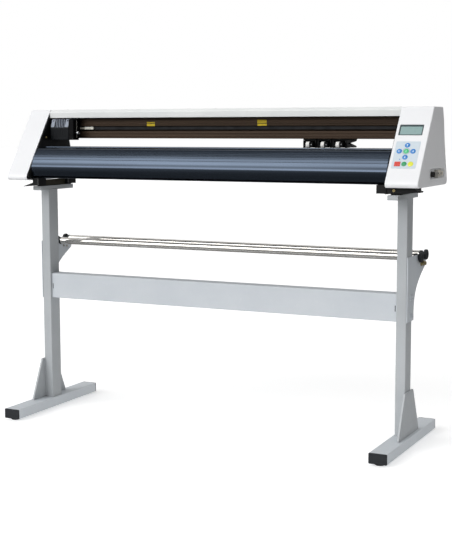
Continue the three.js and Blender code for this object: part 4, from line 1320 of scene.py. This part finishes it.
def tool_clamp():
    """The sliding tool clamp with its bored seat, and the knurled knob that tightens it."""
    low, high = span("tool_slider")
    x, y = (low.x + high.x) / 2, TOOL_SEAT_Y
    outline = [(low.x, low.y, 1), (high.x, low.y, 2.5), (high.x, high.y, 1), (low.x, high.y, 1)]
    body = prism(rounded(outline, 4), low.z, high.z, ALONG_Z)
    body = boolean(body, [prism(circle(x, y, 6, 40), low.z - 2, high.z + 2, ALONG_Z)])
    body = boolean(body, [block((x + 4, high.x + 1), (y - 0.8, y + 0.8), (low.z - 3, high.z + 3))])
    width, depth = (low.x + 3, high.x - 3), (low.y - 1, low.y + 1.2)
    body = boolean(body, [block(width, depth, (z, z + 2.2)) for z in (1000, 1036)])
    soften(body, 0.4, 2, 50)
    piece("tool_slider_block", [body], CARRIAGE_BLACK, "tool_slider", ["tool_slider"])
    low, high = span("tool_clamp_knob")
    centre = middle("tool_clamp_knob")
    radius = (high.z - low.z) / 2
    end = high.x - low.x
    neck = end - 7.5
    place = facing((low.x, centre.y, centre.z), (1, 0, 0))
    profile = [(0, 0), (4.4, 0), (4.4, neck - 1), (3.6, neck - 1), (3.6, neck + 1), (0, neck + 1)]
    stem = turned(profile, place, 32)
    piece("tool_clamp_knob_stem", [stem], CARRIAGE_BLACK, "tool_knob")

    def knurl(angle, height):
        return 1 - 0.035 * (0.5 + 0.5 * math.cos(24 * angle)) if neck + 0.8 < height < end - 1.2 else 1

    profile = [
        (0, neck), (radius - 1, neck), (radius, neck + 0.9), (radius, end - 1.4), (radius - 1.2, end),
        (3.4, end), (3, end - 0.8), (0, end - 0.8),
    ]
    head = turned(profile, place, 144, knurl)
    piece("tool_clamp_knob_head", [head], STEEL, "tool_knob", ["tool_clamp_knob"])


# ---------- head: pinch rollers ----------

SKIRT_Z = (960.6, 984)
SKIRT_FRONT, SKIRT_REAR = 60, 98
SKIRT_HALF = 23
SKIRT_WALL = 3
ARM_SCREW = (14.5, 39, 971.4)


def pinch_units():
    """Three rubber rollers, each between the cheeks of an arm that hangs under a clamp on the beam."""
    for number in (1, 2, 3):
        clamp, arm, roller = f"pinch_clamp_{number}", f"pinch_arm_{number}", f"pinch_roller_{number}"
        dress(BLACK_METAL, clamp, bevel=0.7)
        dress(CARRIAGE_BLACK, arm, bevel=0.9)
        low, high = span(roller)
        centre = middle(roller)
        radius = (high.z - low.z) / 2
        tip = (high.x - low.x) / 2
        half = tip - 6
        place = at(*centre, ALONG_X)
        crown = [(radius * (1 - 0.018 * (k / 4) ** 2), k / 4 * (half - 1)) for k in range(-4, 5)]
        edge = radius - 1.6
        tyre = turned([(0, -half), (edge, -half), *crown, (edge, half), (0, half)], place, 56)
        piece(roller + "_tyre", [tyre], ROLLER, roller, [roller])
        hub = [(0, half - 1), (5, half - 1), (5, half + 0.8), (2.5, half + 1)]
        profile = [*hub, (2.5, tip - 0.4), (2.1, tip), (0, tip)]
        ends = [turned(profile, facing(centre, (sign, 0, 0)), 32) for sign in (-1, 1)]
        piece(roller + "_axle", ends, STEEL, roller)
        inside = SKIRT_HALF - SKIRT_WALL
        reach = inside + 0.5
        depth = (SKIRT_REAR - SKIRT_WALL, SKIRT_REAR)
        walls = [block((centre.x - reach, centre.x + reach), depth, SKIRT_Z)]
        for x in (centre.x - SKIRT_HALF, centre.x + inside):
            walls.append(block((x, x + SKIRT_WALL), (SKIRT_FRONT, SKIRT_REAR), SKIRT_Z))
        skirt = [soften(wall, 0.5, 2) for wall in walls]
        piece(clamp + "_skirt", skirt, BLACK_METAL, clamp)
        x, y, z = ARM_SCREW
        pin = screw(facing((centre.x + x, y, z), (0, -1, 0)), 2, 0.8)
        piece(arm + "_screw", [pin], STEEL, arm)


# ---------- head: feed shaft, belt drive and electronics ----------

SHAFT_HALF = 597
JOURNAL_RADIUS = 5
BAND = 86
BAND_GAP = 20


def feed_shaft():
    """The steel feed shaft with grit bands."""
    low, high = span("grit_shaft")
    centre = middle("grit_shaft")
    place = at(0, centre.y, centre.z, ALONG_X)
    radius = (high.z - low.z) / 2
    rod, neck, nib = radius - 0.5, JOURNAL_RADIUS, JOURNAL_RADIUS - 0.5
    profile = [
        (0, low.x), (nib, low.x), (neck, low.x + 0.5), (neck, -SHAFT_HALF), (rod, -SHAFT_HALF),
        (rod, SHAFT_HALF), (neck, SHAFT_HALF), (neck, high.x - 0.5), (nib, high.x), (0, high.x),
    ]
    piece("feed_shaft_rod", [turned(profile, place, 40)], STEEL, "grit_shaft", ["grit_shaft"])
    pitch = BAND + BAND_GAP
    count = int(2 * (SHAFT_HALF - 8) / pitch)
    foot, shoulder = radius - 0.6, radius - 0.2
    bands = []
    for i in range(count):
        start = (BAND_GAP - count * pitch) / 2 + i * pitch
        end = start + BAND
        profile = [
            (foot, start), (shoulder, start), (radius, start + 0.4), (radius, end - 0.4), (shoulder, end),
            (foot, end),
        ]
        band = turned(profile, place, 40)
        bmesh.ops.holes_fill(band, edges=band.edges)
        bmesh.ops.recalc_face_normals(band, faces=band.faces)
        bands.append(band)
    piece("feed_shaft_grit_bands", bands, GRIT, "grit_shaft")


BELT_TOOTH_PITCH = 3
BELT_BACK = 0.75
BELT_TOOTH = 1.5
PULLEY_ARC_STEPS = 48
PULLEY_ROOT = 11.7
PULLEY_HALF_WIDTH = 5.3
PULLEY_TEETH = 22


def belt_drive():
    """A toothed belt in the beam's groove, round a toothed pulley at each end."""
    low, high = span("drive_belt")
    centre = middle("drive_belt")
    drive, idler = middle("drive_pulley").x, middle("idler_pulley").x
    radius = (high.y - low.y) / 2
    steps = int((drive - idler) / BELT_TOOTH_PITCH) * 4
    outer, inner = [], []

    def add(point, inwards, i):
        outer.append(point)
        inner.append(point + inwards * (BELT_BACK if i % 4 < 2 else BELT_TOOTH))

    for start, end, side in ((idler, drive, -1), (drive, idler, 1)):
        for i in range(steps):
            x = start + (end - start) * i / steps
            add(Vector((x, centre.y + side * radius)), Vector((0, -side)), i)
        for i in range(PULLEY_ARC_STEPS):
            t = side * math.pi / 2 + math.pi * i / PULLEY_ARC_STEPS
            radial = Vector((math.cos(t), math.sin(t)))
            add(Vector((end, centre.y)) + radial * radius, -radial, i)
    bm = bmesh.new()
    rows = []
    for line, z in ((outer, low.z), (outer, high.z), (inner, high.z), (inner, low.z)):
        rows.append([bm.verts.new((*point, z)) for point in line])
    for i in range(len(outer)):
        for k, row in enumerate(rows):
            before = rows[k - 1]
            bm.faces.new((before[i - 1], before[i], row[i], row[i - 1]))
    bmesh.ops.recalc_face_normals(bm, faces=bm.faces)
    piece("drive_belt_toothed", [bm], BELT, "machine", ["drive_belt"])
    for node in ("drive_pulley", "idler_pulley"):
        pulley(node)


def pulley(node):
    """A toothed belt pulley between two flanges, on the end of its shaft."""
    low, high = span(node)
    centre = middle(node)
    belt = middle("drive_belt").z
    place = at(centre.x, centre.y, belt)
    flange = (high.x - low.x) / 2
    root, half = PULLEY_ROOT, PULLEY_HALF_WIDTH
    base, top = low.z - belt, high.z - belt

    def tooth(angle, height):
        return 0.95 if math.cos(PULLEY_TEETH * angle) > 0.2 else 1

    edge = half - 0.05
    wheel = turned([(0, -edge), (root, -edge), (root, edge), (0, edge)], place, 176, tooth)
    below = [(0, base), (flange - 0.5, base), (flange, base + 0.4), (flange - 0.6, -half), (0, -half)]
    above = [
        (0, half), (flange - 0.6, half), (flange, half + 1), (flange - 0.5, half + 1.5), (3, half + 1.5),
        (3, top - 0.4), (2.6, top), (0, top),
    ]
    flanges = [turned(profile, place, 64) for profile in (below, above)]
    piece(node + "_toothed", [wheel, *flanges], PULLEY, node, [node])


MOTOR_CASTING = 0.22
LAMINATIONS = 14


def motors():
    """Square stepping motors: a laminated stack between two end castings, with four corner screws."""
    for node, axis in (("feed_motor", 0), ("carriage_motor", 2)):
        low, high = span(node)
        size = high - low
        direction = Vector([float(i == axis) for i in range(3)])
        start = Vector(middle(node))
        start[axis] = low[axis]
        place = facing(start, direction)
        length = size[axis]
        width = min(size[i] for i in range(3) if i != axis)
        corner = width * 0.12
        section = rectangle(0, 0, width, width, corner)
        casting = length * MOTOR_CASTING
        parts = []
        for start, end in ((0, casting), (length - casting, length)):
            parts.append(soften(prism(section, start, end, place), 0.6, 2, 50))
        step = (length - 2 * casting) / LAMINATIONS
        for i in range(LAMINATIONS):
            side = width * 0.97 - (0.6 if i % 2 else 0)
            base = casting + i * step
            parts.append(prism(rectangle(0, 0, side, side, corner), base, base + step, place))
        piece(node + "_case", parts, MOTOR, "machine", [node])
        reach = width * 0.37
        corners = [(reach, reach), (reach, -reach), (-reach, reach), (-reach, -reach)]
        screws = [screw(place @ Matrix.Translation((a, b, length - 0.6)), 2.6, 0.6) for a, b in corners]
        piece(node + "_screws", screws, STEEL, "machine")


BOARD_X = (664, 666)
CHIPS = (
    (-60, 892, 20, 25, 4), (-28, 876, 14, 14, 11), (1, 906, 22, 22, 8), (-70, 870, 8, 5, 2),
    (-45, 915, 12, 5, 2), (-15, 915, 10, 6, 3), (10, 872, 12, 8, 6), (-78, 910, 6, 10, 5),
)


def electronics():
    """The control board with its chips and connectors, and the power supply in its perforated case."""
    low, high = span("control_board")
    board = soften(block(BOARD_X, (low.y, high.y), (low.z, high.z)), 0.2, 1)
    piece("control_board_plate", [board], BOARD, "machine", ["control_board"])
    face = BOARD_X[1]
    parts = []
    for y, z, width, height, tall in CHIPS:
        chip = prism(rectangle(y, z, width, height, 0.5), face - 0.1, face + tall)
        parts.append(soften(chip, 0.4, 2))
    parts += [prism(rectangle(-80 + i * 9, 865, 3, 1.6), face - 0.1, face + 0.8) for i in range(10)]
    piece("control_board_chips", parts, PORT_DARK, "machine")
    low, high = span("power_supply")
    case = soften(block((low.x, high.x), (low.y, high.y), (low.z, high.z)), 0.8, 2)
    profile = [(0, -2), (2.4, -2), (2.4, 2), (0, 2)]
    holes = []
    for i in range(7):
        for k in range(5):
            place = at(low.x + 8 + i * 8.5, low.y + 14 + k * 12, high.z)
            holes.append(turned(profile, place, 12))
    case = boolean(case, holes)
    piece("power_supply_case", [case], SUPPLY, "machine", ["power_supply"])


MOUNT_STRIP = ((-655, -654.4), (-64, 70), (824, 842.5))
MOUNT_STUDS = ((-646, -112.3), (-640, 69.7))
MOUNT_STUD_Z = (826, 848)
MOUNT_BOLT = (672, -108, 834)


def mount_brackets():
    """The black brackets that carry the head on the stand, with studs, a brass bolt and a thin olive strip of
    painted shade and reflection.
    """
    dress(BLACK_METAL, "left_mount_bracket", "right_mount_bracket", bevel=1.0)
    # A thin olive sheet on the left bracket's side: painted shade and reflection.
    strip = soften(block(*MOUNT_STRIP), 0.2, 1)
    piece("left_mount_bracket_painted_shade_strip", [strip], OLIVE_PAINTED_SHADE_AND_REFLECTION, "machine")
    start, end = MOUNT_STUD_Z
    profile = [(0, start), (0.9, start), (0.9, end), (0, end)]
    studs = [turned(profile, at(x, y, 0), 16) for x, y in MOUNT_STUDS]
    piece("left_mount_bracket_studs", studs, STEEL, "machine")
    bolt = hex_bolt(facing(MOUNT_BOLT, (0, -1, 0)), 3.4, 3)
    piece("right_mount_bracket_bolt", [bolt], BRASS, "machine")


for build in (
    studio, feet, columns, crossbeam, roll_brackets, roll_bars, mount_brackets, left_housing,
    right_housing, side_plates, top_cover, beam, platen, display, keypad, ports, carriage,
    pinch_units, feed_shaft, belt_drive, motors, electronics,
):
    build()
